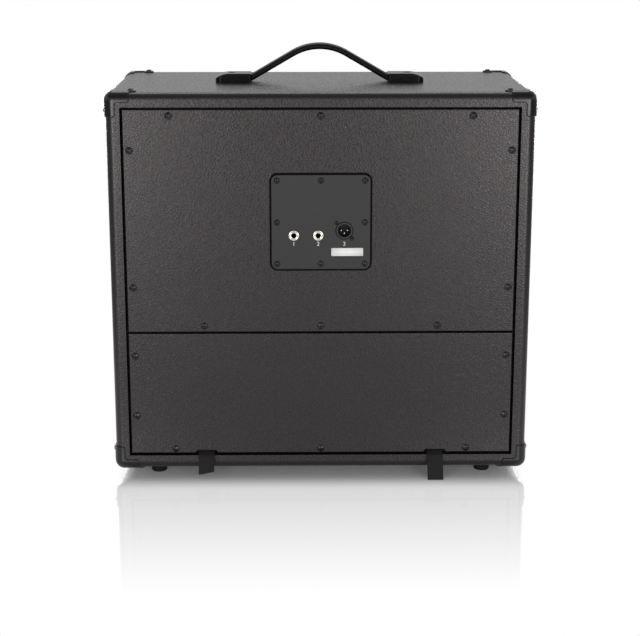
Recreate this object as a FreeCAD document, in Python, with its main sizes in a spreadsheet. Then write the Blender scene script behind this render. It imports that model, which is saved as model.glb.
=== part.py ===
import FreeCAD, Part
import math
import os
import re
import Sketcher

# Guitar speaker cabinet, millimetres.
# +Z is up, the grille faces -Y, the screwed back faces +Y.
# Left and right are named as seen from the back, so left is +X.

V = FreeCAD.Vector
doc = FreeCAD.newDocument("speaker_cabinet")
os.makedirs("parts", exist_ok=True)

# Driving dimensions

DIMENSIONS = [
    ("cab_width", 520, "outside width of the cabinet"),
    ("cab_height", 476, "outside height without feet or handle"),
    ("cab_depth", 270, "outside depth"),
    ("origin_shift", 8, "cabinet middle lies this far in front of the origin"),
    ("edge_radius", 10, "round-over on every outer edge"),
    ("ply", 16, "plywood of the four walls"),
    ("skin", 0.75, "vinyl covering"),
    ("finger_count", 9, "fingers along each corner joint"),
    ("batten", 20, "square batten section"),
    ("rail_height", 40, "height of the rail behind the panel seam"),
    ("grille_recess", 5, "grille face behind the front edge"),
    ("cloth", 0.8, "grille cloth"),
    ("grille_frame_thick", 11, "grille frame board"),
    ("grille_frame_bar", 26, "width of the grille frame bars"),
    ("grille_clear", 1.2, "clearance round the grille"),
    ("pad_thick", 2.6, "grille fastening pads"),
    ("pad_size", 22, "side of each grille pad"),
    ("baffle_thick", 16, "baffle board"),
    ("panel_thick", 12, "back panel board with its vinyl"),
    ("panel_recess", 1.5, "back panel face behind the back edge"),
    ("panel_gap", 2.5, "gap round the back panels"),
    ("panel_edge", 1.5, "soft edge of the back panels"),
    ("seam_height", 178, "height of the panel seam over the cabinet bottom"),
    ("seam_gap", 1.6, "gap between the two panels"),
    ("screw_inset", 8, "panel screws in from the panel edges"),
    ("screw_wide", 184, "outer screws of the long rows from the middle"),
    ("screw_near", 145, "outer screws of the seam row from the middle"),
    ("screw_head", 4.7, "panel screw head radius"),
    ("screw_dome", 2.3, "panel screw head height"),
    ("screw_shank", 1.9, "panel screw shank radius"),
    ("screw_length", 26, "panel screw shank length"),
    ("plate_width", 121.6, "jack plate width"),
    ("plate_height", 117.6, "jack plate height"),
    ("plate_thick", 1.8, "jack plate sheet"),
    ("plate_corner", 8, "jack plate corner radius"),
    ("plate_edge", 1, "soft front edge of the jack plate"),
    ("plate_level", 318, "jack plate centre over the cabinet bottom"),
    ("plate_screw_x", 53.8, "jack plate screws from its centre, sideways"),
    ("plate_screw_z", 51.7, "jack plate screws from its centre, upwards"),
    ("gasket_thick", 1.2, "gasket under the jack plate"),
    ("gasket_margin", 2, "gasket past the plate edge"),
    ("cutout_width", 94, "opening in the panel behind the plate"),
    ("cutout_height", 88, "opening in the panel behind the plate"),
    ("jack_pitch", 29.9, "distance between the two jacks"),
    ("jack_x", 33.2, "input jack from the plate centre"),
    ("jack_drop", 16, "jacks below the plate centre"),
    ("jack_bore", 3.25, "jack bore radius for a quarter-inch plug"),
    ("sleeve_radius", 4.7, "threaded jack sleeve radius"),
    ("nut_radius", 6.2, "jack nut radius"),
    ("nut_thick", 2.5, "jack nut thickness"),
    ("housing_width", 20, "jack housing width"),
    ("housing_height", 18, "jack housing height"),
    ("housing_depth", 27, "jack housing depth"),
    ("housing_wall", 2, "jack housing wall"),
    ("xlr_x", 28.8, "three-pin socket from the plate centre"),
    ("xlr_drop", 10.3, "three-pin socket below the plate centre"),
    ("xlr_bore", 8.3, "inside radius of the three-pin socket"),
    ("xlr_radius", 9.8, "outside radius of the three-pin socket"),
    ("xlr_hole", 11.2, "plate hole round the three-pin socket"),
    ("xlr_screw", 9.6, "socket screws from its centre, both ways"),
    ("xlr_depth", 18, "three-pin socket behind the plate"),
    ("pin_radius", 1.2, "contact pin radius"),
    ("pin_pitch", 3.75, "contact pins from the socket centre"),
    ("foot_height", 12, "rubber foot height"),
    ("foot_radius", 11, "rubber foot radius at the cabinet"),
    ("foot_tip", 9.6, "rubber foot radius at the floor"),
    ("foot_edge", 1.8, "soft lower edge of a foot"),
    ("foot_side", 52, "foot centre in from the cabinet side"),
    ("foot_end", 30, "foot centre in from the back and front"),
    ("corner_thick", 1.8, "corner protector wall"),
    ("corner_leg", 29.4, "corner protector leg length"),
    ("corner_face", 12, "corner protector width on each face"),
    ("lug_along", 30.5, "corner screw lug along the edge"),
    ("lug_in", 14, "corner screw lug in from the edge"),
    ("corner_rim", 0.9, "soft rim of a corner protector"),
    ("lug_side_along", 22.8, "side screw lug along the edge"),
    ("lug_side_in", 17.5, "side screw lug in from the edge"),
    ("lug_radius", 6.6, "corner screw lug radius"),
    ("corner_turn", 3.5, "rounded corners of the protector legs"),
    ("handle_apex", 45, "handle strap middle line over the top"),
    ("handle_flat", 4.2, "strap middle line inside the end caps"),
    ("handle_slope", 30, "flank angle of the handle strap, degrees"),
    ("handle_top_radius", 68, "bend over the top of the handle"),
    ("handle_low_radius", 20, "bend at the end caps"),
    ("handle_width", 28, "handle strap width"),
    ("handle_thick", 7, "handle strap thickness"),
    ("core_width", 18, "steel strip inside the handle"),
    ("core_thick", 1.2, "steel strip thickness"),
    ("cap_outer", 132.5, "outer end of an end cap from the middle"),
    ("cap_inner", 87, "mouth of an end cap from the middle"),
    ("cap_width", 37, "end cap width"),
    ("cap_height", 11.4, "end cap height"),
    ("cap_toe", 5.6, "end cap height at its outer end"),
    ("cap_curve", 18, "length of the curved part of an end cap's roof"),
    ("cap_bolt", 112, "end cap bolt from the middle"),
    ("strap_width", 20, "pull strap webbing width"),
    ("strap_thick", 1.8, "pull strap webbing thickness"),
    ("strap_rise", 34, "strap screw over the notch"),
    ("strap_end", 12, "strap above its screw"),
    ("strap_x", 145, "pull straps from the middle"),
    ("strap_lean", 29, "pull strap lean at rest, degrees"),
    ("left_tail", 24, "free length of the left pull strap"),
    ("right_tail", 33.5, "free length of the right pull strap"),
    ("left_slant", 3.2, "slant of the left pull strap's end"),
    ("notch_width", 31, "strap notch width at its mouth"),
    ("notch_top", 24, "strap notch width at its top"),
    ("notch_height", 4.5, "strap notch height"),
    ("frame_radius", 155, "loudspeaker frame radius"),
    ("frame_flange", 17, "loudspeaker frame flange width"),
    ("frame_sheet", 2, "loudspeaker frame sheet"),
    ("frame_card", 2, "card gasket on the loudspeaker frame"),
    ("card_width", 8, "width of the card gasket"),
    ("opening_inset", 14, "baffle opening in from the frame edge"),
    ("bolt_inset", 6.5, "loudspeaker bolts in from the frame edge"),
    ("rim_inset", 27, "cone rim in from the frame edge"),
    ("rim_width", 6, "flat rim of the cone"),
    ("basket_depth", 54, "sloped basket wall"),
    ("neck_radius", 68, "basket radius at the ledge"),
    ("pot_radius", 59, "basket pot radius"),
    ("pot_depth", 16, "basket pot depth"),
    ("pot_hole_radius", 45, "hole through the basket pot"),
    ("window_width", 52, "basket window width"),
    ("window_start", 14, "basket windows behind the baffle"),
    ("window_depth", 34, "basket window length"),
    ("pole_plate", 7, "top plate and yoke thickness"),
    ("top_plate_radius", 60, "top plate radius"),
    ("magnet_radius", 78, "magnet ring radius"),
    ("magnet_hole", 40, "magnet ring inside radius"),
    ("magnet_thick", 18, "magnet ring thickness"),
    ("yoke_inset", 4, "yoke in from the magnet edge"),
    ("vent_radius", 8, "vent through the pole"),
    ("coil_radius", 25.3, "voice coil former radius"),
    ("coil_gap", 1.4, "top plate hole round the coil former"),
    ("coil_length", 13, "winding length"),
    ("former_length", 52, "voice coil former length"),
    ("cone_depth", 38, "cone depth"),
    ("cone_wall", 1.2, "cone paper"),
    ("dust_radius", 38, "dust cap radius"),
    ("dust_rise", 13, "dust cap dome height"),
    ("surround_wall", 0.7, "surround and spider cloth"),
    ("spider_radius", 64, "spider radius"),
    ("terminal_width", 32, "terminal strip width"),
    ("terminal_height", 34, "terminal strip height"),
    ("terminal_thick", 2, "terminal strip thickness"),
    ("terminal_in", 59.5, "terminal strip from the loudspeaker axis"),
    ("tab_spacing", 14, "distance between the two solder tabs"),
    ("tab_length", 8, "solder tab length"),
    ("tab_width", 5, "solder tab width"),
    ("mic_radius", 12, "microphone body radius"),
    ("mic_length", 66, "microphone body length"),
    ("mic_behind", 64, "microphone behind the baffle"),
    ("mic_x", 120, "microphone from the middle"),
    ("mic_lift", 25, "microphone over the panel seam"),
    ("mic_wall", 1.6, "microphone body wall"),
    ("bracket_sheet", 2, "microphone bracket strip"),
    ("bracket_width", 30, "microphone bracket foot width"),
    ("bracket_height", 34, "microphone bracket foot height"),
    ("clamp_length", 20, "microphone clamp length"),
    ("clamp_set", 26, "microphone clamp behind its front"),
    ("mic_screw_x", 8, "bracket screws from the microphone axis, sideways"),
    ("mic_screw_z", 6, "bracket screws from the seam, upwards"),
    ("wire_radius", 1.4, "speaker lead conductor radius"),
    ("wire_pitch", 8, "distance between the two conductors at the jack"),
    ("mic_lead_radius", 2.6, "microphone lead radius"),
    ("wood_shank", 1.7, "inside wood screw shank radius"),
    ("wood_head", 3.6, "inside wood screw head radius"),
    ("wood_dome", 2, "inside wood screw head height"),
    ("wood_length", 11, "inside wood screw length"),
    ("baffle_screw_length", 26, "baffle screw length"),
    ("bolt_shank", 2.4, "machine bolt radius"),
    ("bolt_head", 4.2, "machine bolt head radius"),
    ("tee_barrel", 3.4, "tee nut barrel radius"),
    ("tee_flange", 6.8, "tee nut flange radius"),
    ("tee_sheet", 1.5, "tee nut flange thickness"),
    ("tee_reach", 10, "tee nut barrel length"),
    ("corner_shank", 1.4, "corner screw shank radius"),
    ("corner_head", 4.1, "corner screw head radius"),
    ("corner_length", 13, "corner screw length"),
    ("plate_shank", 1.5, "jack plate screw shank radius"),
    ("plate_head", 3.9, "jack plate screw head radius"),
    ("plate_length", 16, "jack plate screw length"),
    ("contact_width", 4, "jack tip spring width"),
    ("contact_sheet", 0.4, "jack tip spring strip"),
    ("contact_bump", 1.3, "jack tip spring contact radius"),
    ("contact_lift", 4.5, "jack tip spring over the jack axis"),
    ("contact_root", 3.6, "jack tip spring root behind the housing wall"),
    ("xlr_flange_size", 27, "socket mounting flange"),
    ("xlr_floor", 5, "socket floor thickness"),
]

sheet = doc.addObject("Spreadsheet::Sheet", "dims")
for row, (alias, value, note) in enumerate(DIMENSIONS, start=1):
    sheet.set(f"A{row}", alias)
    sheet.set(f"B{row}", str(value))
    sheet.set(f"C{row}", note)
    sheet.setAlias(f"B{row}", alias)
doc.recompute()
ALIASES = {alias for alias, value, note in DIMENSIONS}
WORD = re.compile(r"[a-z_][a-z_0-9]*")

# Levels that many pieces share, as sheet expressions

BACK = "(cab_depth/2 - origin_shift)"
FRONT = "(-cab_depth/2 - origin_shift)"
BOTTOM = "foot_height"
TOP = "(foot_height + cab_height)"
WALL = "(ply + 2*skin)"
LIP = "(ply + skin)"
PANEL_FACE = f"({BACK} - panel_recess)"
PANEL_INNER = f"({PANEL_FACE} - panel_thick)"
GRILLE_FACE = f"({FRONT} + grille_recess)"
BAFFLE_FACE = f"({GRILLE_FACE} + cloth + grille_frame_thick + pad_thick)"
BAFFLE_REAR = f"({BAFFLE_FACE} + baffle_thick)"
PLATE_REAR = f"({PANEL_FACE} + gasket_thick)"
PLATE_FACE = f"({PLATE_REAR} + plate_thick)"
PLATE_Z = "(foot_height + plate_level)"
SEAM = "(foot_height + seam_height)"
MIDDLE = "(foot_height + cab_height/2)"


# Helpers

def dim(alias):
    return float(sheet.get(alias))


def bound(text):
    def prefix(match):
        word = match.group()
        return "dims." + word if word in ALIASES else word
    return WORD.sub(prefix, str(text))


def bind(obj, prop, text):
    obj.setExpression(prop, bound(text))


TURNS = {
    "z": FreeCAD.Rotation(),
    "-z": FreeCAD.Rotation(V(1, 0, 0), 180),
    "y": FreeCAD.Rotation(V(1, 0, 0), -90),
    "-y": FreeCAD.Rotation(V(1, 0, 0), 90),
    "x": FreeCAD.Rotation(V(0, 1, 0), 90),
    "-x": FreeCAD.Rotation(V(0, 1, 0), -90),
}


def put(obj, x, y, z, turn="z"):
    obj.Placement = FreeCAD.Placement(V(0, 0, 0), TURNS[turn])
    bind(obj, "Placement.Base.x", x)
    bind(obj, "Placement.Base.y", y)
    bind(obj, "Placement.Base.z", z)
    return obj


def box(name, size, corner):
    obj = doc.addObject("Part::Box", name)
    bind(obj, "Length", size[0])
    bind(obj, "Width", size[1])
    bind(obj, "Height", size[2])
    return put(obj, *corner)


def cylinder(name, radius, length, base, turn="z"):
    obj = doc.addObject("Part::Cylinder", name)
    bind(obj, "Radius", radius)
    bind(obj, "Height", length)
    return put(obj, *base, turn)


def cone(name, radius_a, radius_b, length, base, turn="z"):
    obj = doc.addObject("Part::Cone", name)
    bind(obj, "Radius1", radius_a)
    bind(obj, "Radius2", radius_b)
    bind(obj, "Height", length)
    return put(obj, *base, turn)


def fuse(name, pieces):
    obj = doc.addObject("Part::MultiFuse", name)
    obj.Shapes = pieces
    return obj


def cut(name, base, tool):
    obj = doc.addObject("Part::Cut", name)
    obj.Base = base
    obj.Tool = tool
    return obj


def common(name, first, second):
    obj = doc.addObject("Part::Common", name)
    obj.Base = first
    obj.Tool = second
    return obj


def group(name, pieces):
    obj = doc.addObject("Part::Compound", name)
    obj.Links = pieces
    return obj


def feature(name, shape):
    obj = doc.addObject("Part::Feature", name)
    obj.Shape = shape
    obj.Placement = shape.Placement
    return obj


def axis_cylinder(radius, length, base, direction):
    return Part.makeCylinder(radius, length, V(*base), V(*direction))


def drills(name, radius, length, places, direction):
    """Round tools of one size, starting at each place."""
    return feature(name, Part.makeCompound(
        [axis_cylinder(radius, length, place, direction) for place in places]))


def plane_of(body, role):
    for item in body.Origin.OriginFeatures:
        if item.Role == role:
            return item


def rectangle(body, role, width, height, name):
    """A centred, fully dimensioned rectangle on one of the body's own planes."""
    sketch = body.newObject("Sketcher::SketchObject", name)
    sketch.AttachmentSupport = [(plane_of(body, role), "")]
    sketch.MapMode = "FlatFace"
    corners = [V(-10, -8, 0), V(10, -8, 0), V(10, 8, 0), V(-10, 8, 0)]
    for index in range(4):
        sketch.addGeometry(Part.LineSegment(corners[index], corners[(index + 1) % 4]))
    rule = Sketcher.Constraint
    for index in range(4):
        sketch.addConstraint(rule("Coincident", index, 2, (index + 1) % 4, 1))
    for index in (0, 2):
        sketch.addConstraint(rule("Horizontal", index))
    for index in (1, 3):
        sketch.addConstraint(rule("Vertical", index))
    sketch.addConstraint(rule("Symmetric", 0, 1, 1, 2, -1, 1))
    sketch.addConstraint(rule("DistanceX", 0, 1, 0, 2, 20))
    sketch.renameConstraint(sketch.ConstraintCount - 1, "across")
    sketch.addConstraint(rule("DistanceY", 1, 1, 1, 2, 16))
    sketch.renameConstraint(sketch.ConstraintCount - 1, "up")
    bind(sketch, "Constraints.across", width)
    bind(sketch, "Constraints.up", height)
    return sketch


def circles(body, role, spots, name):
    """Circles given as centre offsets and radius, each fully dimensioned."""
    sketch = body.newObject("Sketcher::SketchObject", name)
    sketch.AttachmentSupport = [(plane_of(body, role), "")]
    sketch.MapMode = "FlatFace"
    for index, (across, up, radius) in enumerate(spots):
        sketch.addGeometry(Part.Circle(V(index * 30 + 20, 20, 0), V(0, 0, 1), 2))
        for kind, text, value in (("DistanceX", across, index * 30 + 20), ("DistanceY", up, 20)):
            sketch.addConstraint(Sketcher.Constraint(kind, -1, 1, index, 3, value))
            sketch.renameConstraint(sketch.ConstraintCount - 1, f"{kind.lower()}{index}")
            bind(sketch, f"Constraints.{kind.lower()}{index}", text)
        sketch.addConstraint(Sketcher.Constraint("Radius", index, 2))
        sketch.renameConstraint(sketch.ConstraintCount - 1, f"radius{index}")
        bind(sketch, f"Constraints.radius{index}", radius)
    return sketch


def pad(body, sketch, length, name):
    obj = body.newObject("PartDesign::Pad", name)
    obj.Profile = sketch
    bind(obj, "Length", length)
    sketch.Visibility = False
    doc.recompute()
    return obj


def edges_where(obj, test):
    return [f"Edge{index}" for index, edge in enumerate(obj.Shape.Edges, start=1) if test(edge)]


def round_edges(body, base, names, radius, name):
    obj = body.newObject("PartDesign::Fillet", name)
    obj.Base = (base, names)
    bind(obj, "Radius", radius)
    doc.recompute()
    return obj


def rounded_block(name, width, depth, height, radius, centre_y, low_z):
    """A block with every edge rounded, standing on low_z."""
    body = doc.addObject("PartDesign::Body", name)
    sketch = rectangle(body, "XY_Plane", width, depth, name + "_outline")
    block = pad(body, sketch, height, name + "_pad")
    round_edges(body, block, edges_where(block, lambda edge: True), radius, name + "_round")
    return put(body, 0, centre_y, low_z)


def runs_along(edge, direction):
    ends = edge.Vertexes
    if len(ends) < 2:
        return False
    step = ends[1].Point - ends[0].Point
    step.normalize()
    return abs(step.dot(direction)) > 0.999


def upright_board(name, width, height, thick, radius, face_y, centre_z):
    """A board in the XZ plane whose outer face, at face_y, has soft edges."""
    body = doc.addObject("PartDesign::Body", name)
    sketch = rectangle(body, "XZ_Plane", width, height, name + "_outline")
    board = pad(body, sketch, thick, name + "_pad")
    outer = board.Shape.BoundBox.YMax
    names = edges_where(board, lambda edge: all(abs(v.Y - outer) < 1e-6 for v in edge.Vertexes))
    round_edges(body, board, names, radius, name + "_round")
    return put(body, 0, face_y, centre_z)


def smooth_path(points, radius):
    """Straight runs through the points with a tangent arc at every corner."""
    points = [V(*point) for point in points]
    edges = []
    start = points[0]
    for before, corner, after in zip(points, points[1:], points[2:]):
        come = (corner - before).normalize()
        leave = (after - corner).normalize()
        turn = come.getAngle(leave)
        reach = radius * math.tan(turn / 2)
        enter = corner - come * reach
        exit_point = corner + leave * reach
        inward = (leave - come).normalize()
        centre = corner + inward * (radius / math.cos(turn / 2))
        middle = centre - inward * radius
        edges.append(Part.LineSegment(start, enter).toShape())
        edges.append(Part.Arc(enter, middle, exit_point).toShape())
        start = exit_point
    edges.append(Part.LineSegment(start, points[-1]).toShape())
    return Part.Wire(edges)


def swept(path, section):
    """A solid made by carrying a closed section along a path."""
    pipe = Part.BRepOffsetAPI.MakePipeShell(path)
    pipe.setTransitionMode(0)
    pipe.add(section, False, False)
    pipe.build()
    pipe.makeSolid()
    return pipe.shape()


def round_section(centre, direction, radius):
    return Part.Wire([Part.Circle(V(*centre), V(*direction), radius).toShape()])


def screw(head_radius, head_height, shank_radius, length, slot):
    """A domed cross-head screw: the head stands on z = 0 and the shank goes down."""
    dome_radius = (head_radius ** 2 + head_height ** 2) / (2 * head_height)
    ball = Part.makeSphere(dome_radius, V(0, 0, head_height - dome_radius))
    head = ball.common(Part.makeCylinder(head_radius, head_height))
    tip = min(4 * shank_radius, length / 3)
    shank = Part.makeCylinder(shank_radius, length - tip, V(0, 0, tip - length))
    point = Part.makeCone(0.3 * shank_radius, shank_radius, tip, V(0, 0, -length))
    body = head.fuse(shank).fuse(point).removeSplitter()
    depth = 0.75 * head_height
    reach = 0.62 * head_radius
    bar = Part.makeBox(2 * reach, slot, depth + 1, V(-reach, -slot / 2, head_height - depth))
    cross = Part.makeBox(slot, 2 * reach, depth + 1, V(-slot / 2, -reach, head_height - depth))
    pit = Part.makeCylinder(0.3 * head_radius, depth + 1, V(0, 0, head_height - depth))
    return body.cut(bar.fuse(cross).fuse(pit))


def placed(shape, place, direction):
    copy = shape.copy()
    copy.Placement = FreeCAD.Placement(V(*place), FreeCAD.Rotation(V(0, 0, 1), V(*direction)))
    return copy


def screws(name, master, spots):
    """One node with a copy of the master screw at each spot, head towards the direction."""
    return feature(name, Part.makeCompound(
        [placed(master, place, direction) for place, direction in spots]))


# Numbers that several pieces need in the code below

back = dim("cab_depth") / 2 - dim("origin_shift")
front = -dim("cab_depth") / 2 - dim("origin_shift")
bottom = dim("foot_height")
top = bottom + dim("cab_height")
middle = bottom + dim("cab_height") / 2
half_width = dim("cab_width") / 2
lip = dim("ply") + dim("skin")
wall = dim("ply") + 2 * dim("skin")
panel_face = back - dim("panel_recess")
panel_inner = panel_face - dim("panel_thick")
baffle_face = (front + dim("grille_recess") + dim("cloth")
               + dim("grille_frame_thick") + dim("pad_thick"))
baffle_rear = baffle_face + dim("baffle_thick")
plate_rear = panel_face + dim("gasket_thick")
plate_face = plate_rear + dim("plate_thick")
plate_z = bottom + dim("plate_level")
seam = bottom + dim("seam_height")
opening_low = bottom + wall
opening_high = top - wall
panel_half = half_width - wall - dim("panel_gap")

# Fastener positions

upper_low = seam + dim("seam_gap") / 2
upper_high = opening_high - dim("panel_gap")
lower_high = seam - dim("seam_gap") / 2
lower_low = opening_low + dim("panel_gap")
inset = dim("screw_inset")
side_x = panel_half - inset
wide = dim("screw_wide")
near = dim("screw_near")
upper_height = upper_high - upper_low
lower_height = lower_high - lower_low
upper_spots = [(x, upper_high - inset) for x in (-wide, 0, wide)]
upper_spots += [(x, upper_low + inset) for x in (-near, 0, near)]
upper_spots += [(sx * side_x, upper_low + share * upper_height)
                for sx in (-1, 1) for share in (0.205, 0.82)]
lower_spots = [(x, lower_low + inset - 1.8) for x in (-wide, 0, wide)]
lower_spots += [(sx * side_x, lower_low + share * lower_height)
                for sx in (-1, 1) for share in (0.32, 0.815)]
panel_spots = upper_spots + lower_spots
foot_spots = [(sx * (half_width - dim("foot_side")), y)
              for sx in (-1, 1) for y in (front + dim("foot_end"), back - dim("foot_end"))]
lug_in = dim("lug_in")
lug_along = dim("lug_along")
side_along = dim("lug_side_along")
corner_level = dim("corner_thick")
lug_spots = []
for sx in (-1, 1):
    for edge_y, inward in ((front, 1), (back, -1)):
        y = edge_y + inward * lug_in
        side_y = edge_y + inward * dim("lug_side_in")
        for edge_z, up in ((bottom, -1), (top, 1)):
            lug_spots.append(((sx * (half_width - lug_along), y, edge_z + up * corner_level),
                              (0, 0, up)))
            lug_spots.append(((sx * (half_width + corner_level), side_y, edge_z - up * side_along),
                              (sx, 0, 0)))
baffle_half = half_width - lip - dim("batten") / 2
baffle_low = bottom + lip + dim("batten") / 2
baffle_high = top - lip - dim("batten") / 2
baffle_spots = [(sx * baffle_half, z) for sx in (-1, 1)
                for z in (0.9 * baffle_low + 0.1 * baffle_high, 0.1 * baffle_low + 0.9 * baffle_high)]
baffle_spots += [(sx * baffle_half / 2, z) for sx in (-1, 1) for z in (baffle_low, baffle_high)]
bolt_angles = [math.radians(22.5 + 45 * step) for step in range(8)]
bolt_circle = dim("frame_radius") - dim("bolt_inset")
bolt_spots = [(bolt_circle * math.cos(a), middle + bolt_circle * math.sin(a)) for a in bolt_angles]
cap_spots = [(sx * dim("cap_bolt"), -dim("origin_shift")) for sx in (-1, 1)]
strap_level = opening_low + 0.3 + dim("strap_thick") / 2
strap_screw_z = strap_level + dim("strap_rise")
strap_inner = panel_inner - dim("strap_thick")
mic_z = seam + dim("mic_lift")
rail_face = panel_inner - dim("batten")
mic_spots = [(-dim("mic_x") + side * dim("mic_screw_x"), seam - side * dim("mic_screw_z"))
             for side in (-1, 1)]

# Play of every fastener in its hole

hole_play = 0.1
wood_shank = dim("wood_shank")
wood_head = dim("wood_head")
tee_barrel = dim("tee_barrel")
bolt_shank = dim("bolt_shank")

# Holes for fasteners

foot_holes = drills("foot_holes", wood_shank + hole_play, dim("ply"), [(x, y, bottom) for x, y in foot_spots],
                    (0, 0, 1))
lug_holes = feature("lug_holes", Part.makeCompound(
    [axis_cylinder(dim("corner_shank") + hole_play, dim("corner_length") + 3, place, [-c for c in direction])
     for place, direction in lug_spots]))
cap_holes = drills("cap_holes", tee_barrel + hole_play, wall + 4,
                   [(x, y, top - wall - 2) for x, y in cap_spots], (0, 0, 1))
panel_holes = drills("panel_holes", dim("screw_shank") + hole_play, dim("screw_length") + 8,
                     [(x, panel_face + 1, z) for x, z in panel_spots], (0, -1, 0))
shell_holes = group("shell_holes", [foot_holes, lug_holes, cap_holes])

# Plywood walls with finger joints

ply_block = rounded_block("ply_block", "cab_width - 2*skin", "cab_depth - 2*skin",
                          "cab_height - 2*skin", "edge_radius", "-origin_shift", "foot_height + skin")
finger = "((cab_depth - 2*skin)/finger_count)"
finger_total = int(dim("finger_count"))


def finger_blocks(name, x, z, parity):
    blocks = []
    for index in range(parity, finger_total, 2):
        y = f"{FRONT} + skin + {index}*{finger}"
        blocks.append(box(f"{name}_{index}", ("ply", finger, "ply"), (x, y, z)))
    return blocks


LEFT_X = "(cab_width/2 - skin - ply)"
RIGHT_X = "(-cab_width/2 + skin)"
HIGH_Z = f"({TOP} - skin - ply)"
LOW_Z = f"({BOTTOM} + skin)"


def wall_panel(name, size, corner, slots):
    blank = box(name + "_blank", size, corner)
    fingers = cut(name + "_fingers", blank, group(name + "_slots", slots))
    shaped = common(name + "_shaped", fingers, ply_block)
    return cut(name, shaped, shell_holes)


top_panel = wall_panel(
    "top_panel", ("cab_width - 2*skin", "cab_depth - 2*skin", "ply"),
    (RIGHT_X, f"{FRONT} + skin", HIGH_Z),
    finger_blocks("top_slot_a", LEFT_X, HIGH_Z, 1) + finger_blocks("top_slot_b", RIGHT_X, HIGH_Z, 1))
bottom_panel = wall_panel(
    "bottom_panel", ("cab_width - 2*skin", "cab_depth - 2*skin", "ply"),
    (RIGHT_X, f"{FRONT} + skin", LOW_Z),
    finger_blocks("low_slot_a", LEFT_X, LOW_Z, 1) + finger_blocks("low_slot_b", RIGHT_X, LOW_Z, 1))
left_side_panel = wall_panel(
    "left_side_panel", ("ply", "cab_depth - 2*skin", "cab_height - 2*skin"),
    (LEFT_X, f"{FRONT} + skin", LOW_Z),
    finger_blocks("left_slot_a", LEFT_X, HIGH_Z, 0) + finger_blocks("left_slot_b", LEFT_X, LOW_Z, 0))
right_side_panel = wall_panel(
    "right_side_panel", ("ply", "cab_depth - 2*skin", "cab_height - 2*skin"),
    (RIGHT_X, f"{FRONT} + skin", LOW_Z),
    finger_blocks("right_slot_a", RIGHT_X, HIGH_Z, 0) + finger_blocks("right_slot_b", RIGHT_X, LOW_Z, 0))

# Vinyl covering, turned in over the front and back edges

skin_block = rounded_block("skin_block", "cab_width", "cab_depth", "cab_height", "edge_radius",
                           "-origin_shift", "foot_height")
wood_block = rounded_block("wood_block", "cab_width - 2*skin", "cab_depth - 2*skin",
                           "cab_height - 2*skin", "edge_radius - skin", "-origin_shift",
                           "foot_height + skin")
room = box("room", (f"cab_width - 2*{LIP}", "cab_depth + 20", f"cab_height - 2*{LIP}"),
           (f"-cab_width/2 + {LIP}", f"{FRONT} - 10", f"{BOTTOM} + {LIP}"))
opening = box("opening", (f"cab_width - 2*{WALL}", "cab_depth + 20", f"cab_height - 2*{WALL}"),
              (f"-cab_width/2 + {WALL}", f"{FRONT} - 10", f"{BOTTOM} + {WALL}"))
bare_inside = box("bare_inside",
                  (f"cab_width - 2*{LIP}", f"{PANEL_INNER} - {BAFFLE_FACE}", f"cab_height - 2*{LIP}"),
                  (f"-cab_width/2 + {LIP}", BAFFLE_FACE, f"{BOTTOM} + {LIP}"))
wood_tube = cut("wood_tube", wood_block, room)
skin_open = cut("skin_open", cut("skin_hollow", skin_block, wood_tube),
                fuse("skin_inside", [opening, bare_inside]))
vinyl_covering = cut("vinyl_covering", skin_open, shell_holes)

# Battens and the rail behind the panel seam


def batten_ring(name, low_y):
    wide_size = (f"cab_width - 2*{LIP}", "batten", "batten")
    tall_size = ("batten", "batten", f"cab_height - 2*{LIP} - 2*batten")
    low = f"{BOTTOM} + {LIP}"
    return [
        box(name + "_low", wide_size, (f"-cab_width/2 + {LIP}", low_y, low)),
        box(name + "_high", wide_size, (f"-cab_width/2 + {LIP}", low_y, f"{TOP} - {LIP} - batten")),
        box(name + "_right", tall_size, (f"-cab_width/2 + {LIP}", low_y, f"{low} + batten")),
        box(name + "_left", tall_size, (f"cab_width/2 - {LIP} - batten", low_y, f"{low} + batten")),
    ]


baffle_holes = drills("baffle_holes", wood_shank + hole_play, dim("baffle_screw_length") + 6,
                      [(x, baffle_face - 2, z) for x, z in baffle_spots], (0, 1, 0))
baffle_battens = cut("baffle_battens", group("baffle_ring", batten_ring("baffle_batten", BAFFLE_REAR)),
                     baffle_holes)
reliefs = [box(f"strap_relief_{side}", ("strap_width + 4", "strap_thick + 0.6", "batten + 2"),
               (f"{side}*strap_x - strap_width/2 - 2", f"{PANEL_INNER} - strap_thick - 0.6",
                f"{BOTTOM} + {LIP} - 1"))
           for side in (-1, 1)]
rear_tools = group("rear_tools", reliefs + [panel_holes])
rear_battens = cut("rear_battens",
                   group("rear_ring", batten_ring("rear_batten", f"{PANEL_INNER} - batten")), rear_tools)
rail_blank = box("rail_blank", (f"cab_width - 2*{LIP} - 2*batten", "batten", "rail_height"),
                 (f"-cab_width/2 + {LIP} + batten", f"{PANEL_INNER} - batten", f"{SEAM} - rail_height/2"))
mic_holes = drills("mic_holes", wood_shank + hole_play, dim("wood_length") + 6,
                   [(x, rail_face - 4, z) for x, z in mic_spots], (0, 1, 0))
rear_mid_rail = cut("rear_mid_rail", rail_blank, group("rail_tools", [panel_holes, mic_holes]))

# Baffle board

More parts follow.
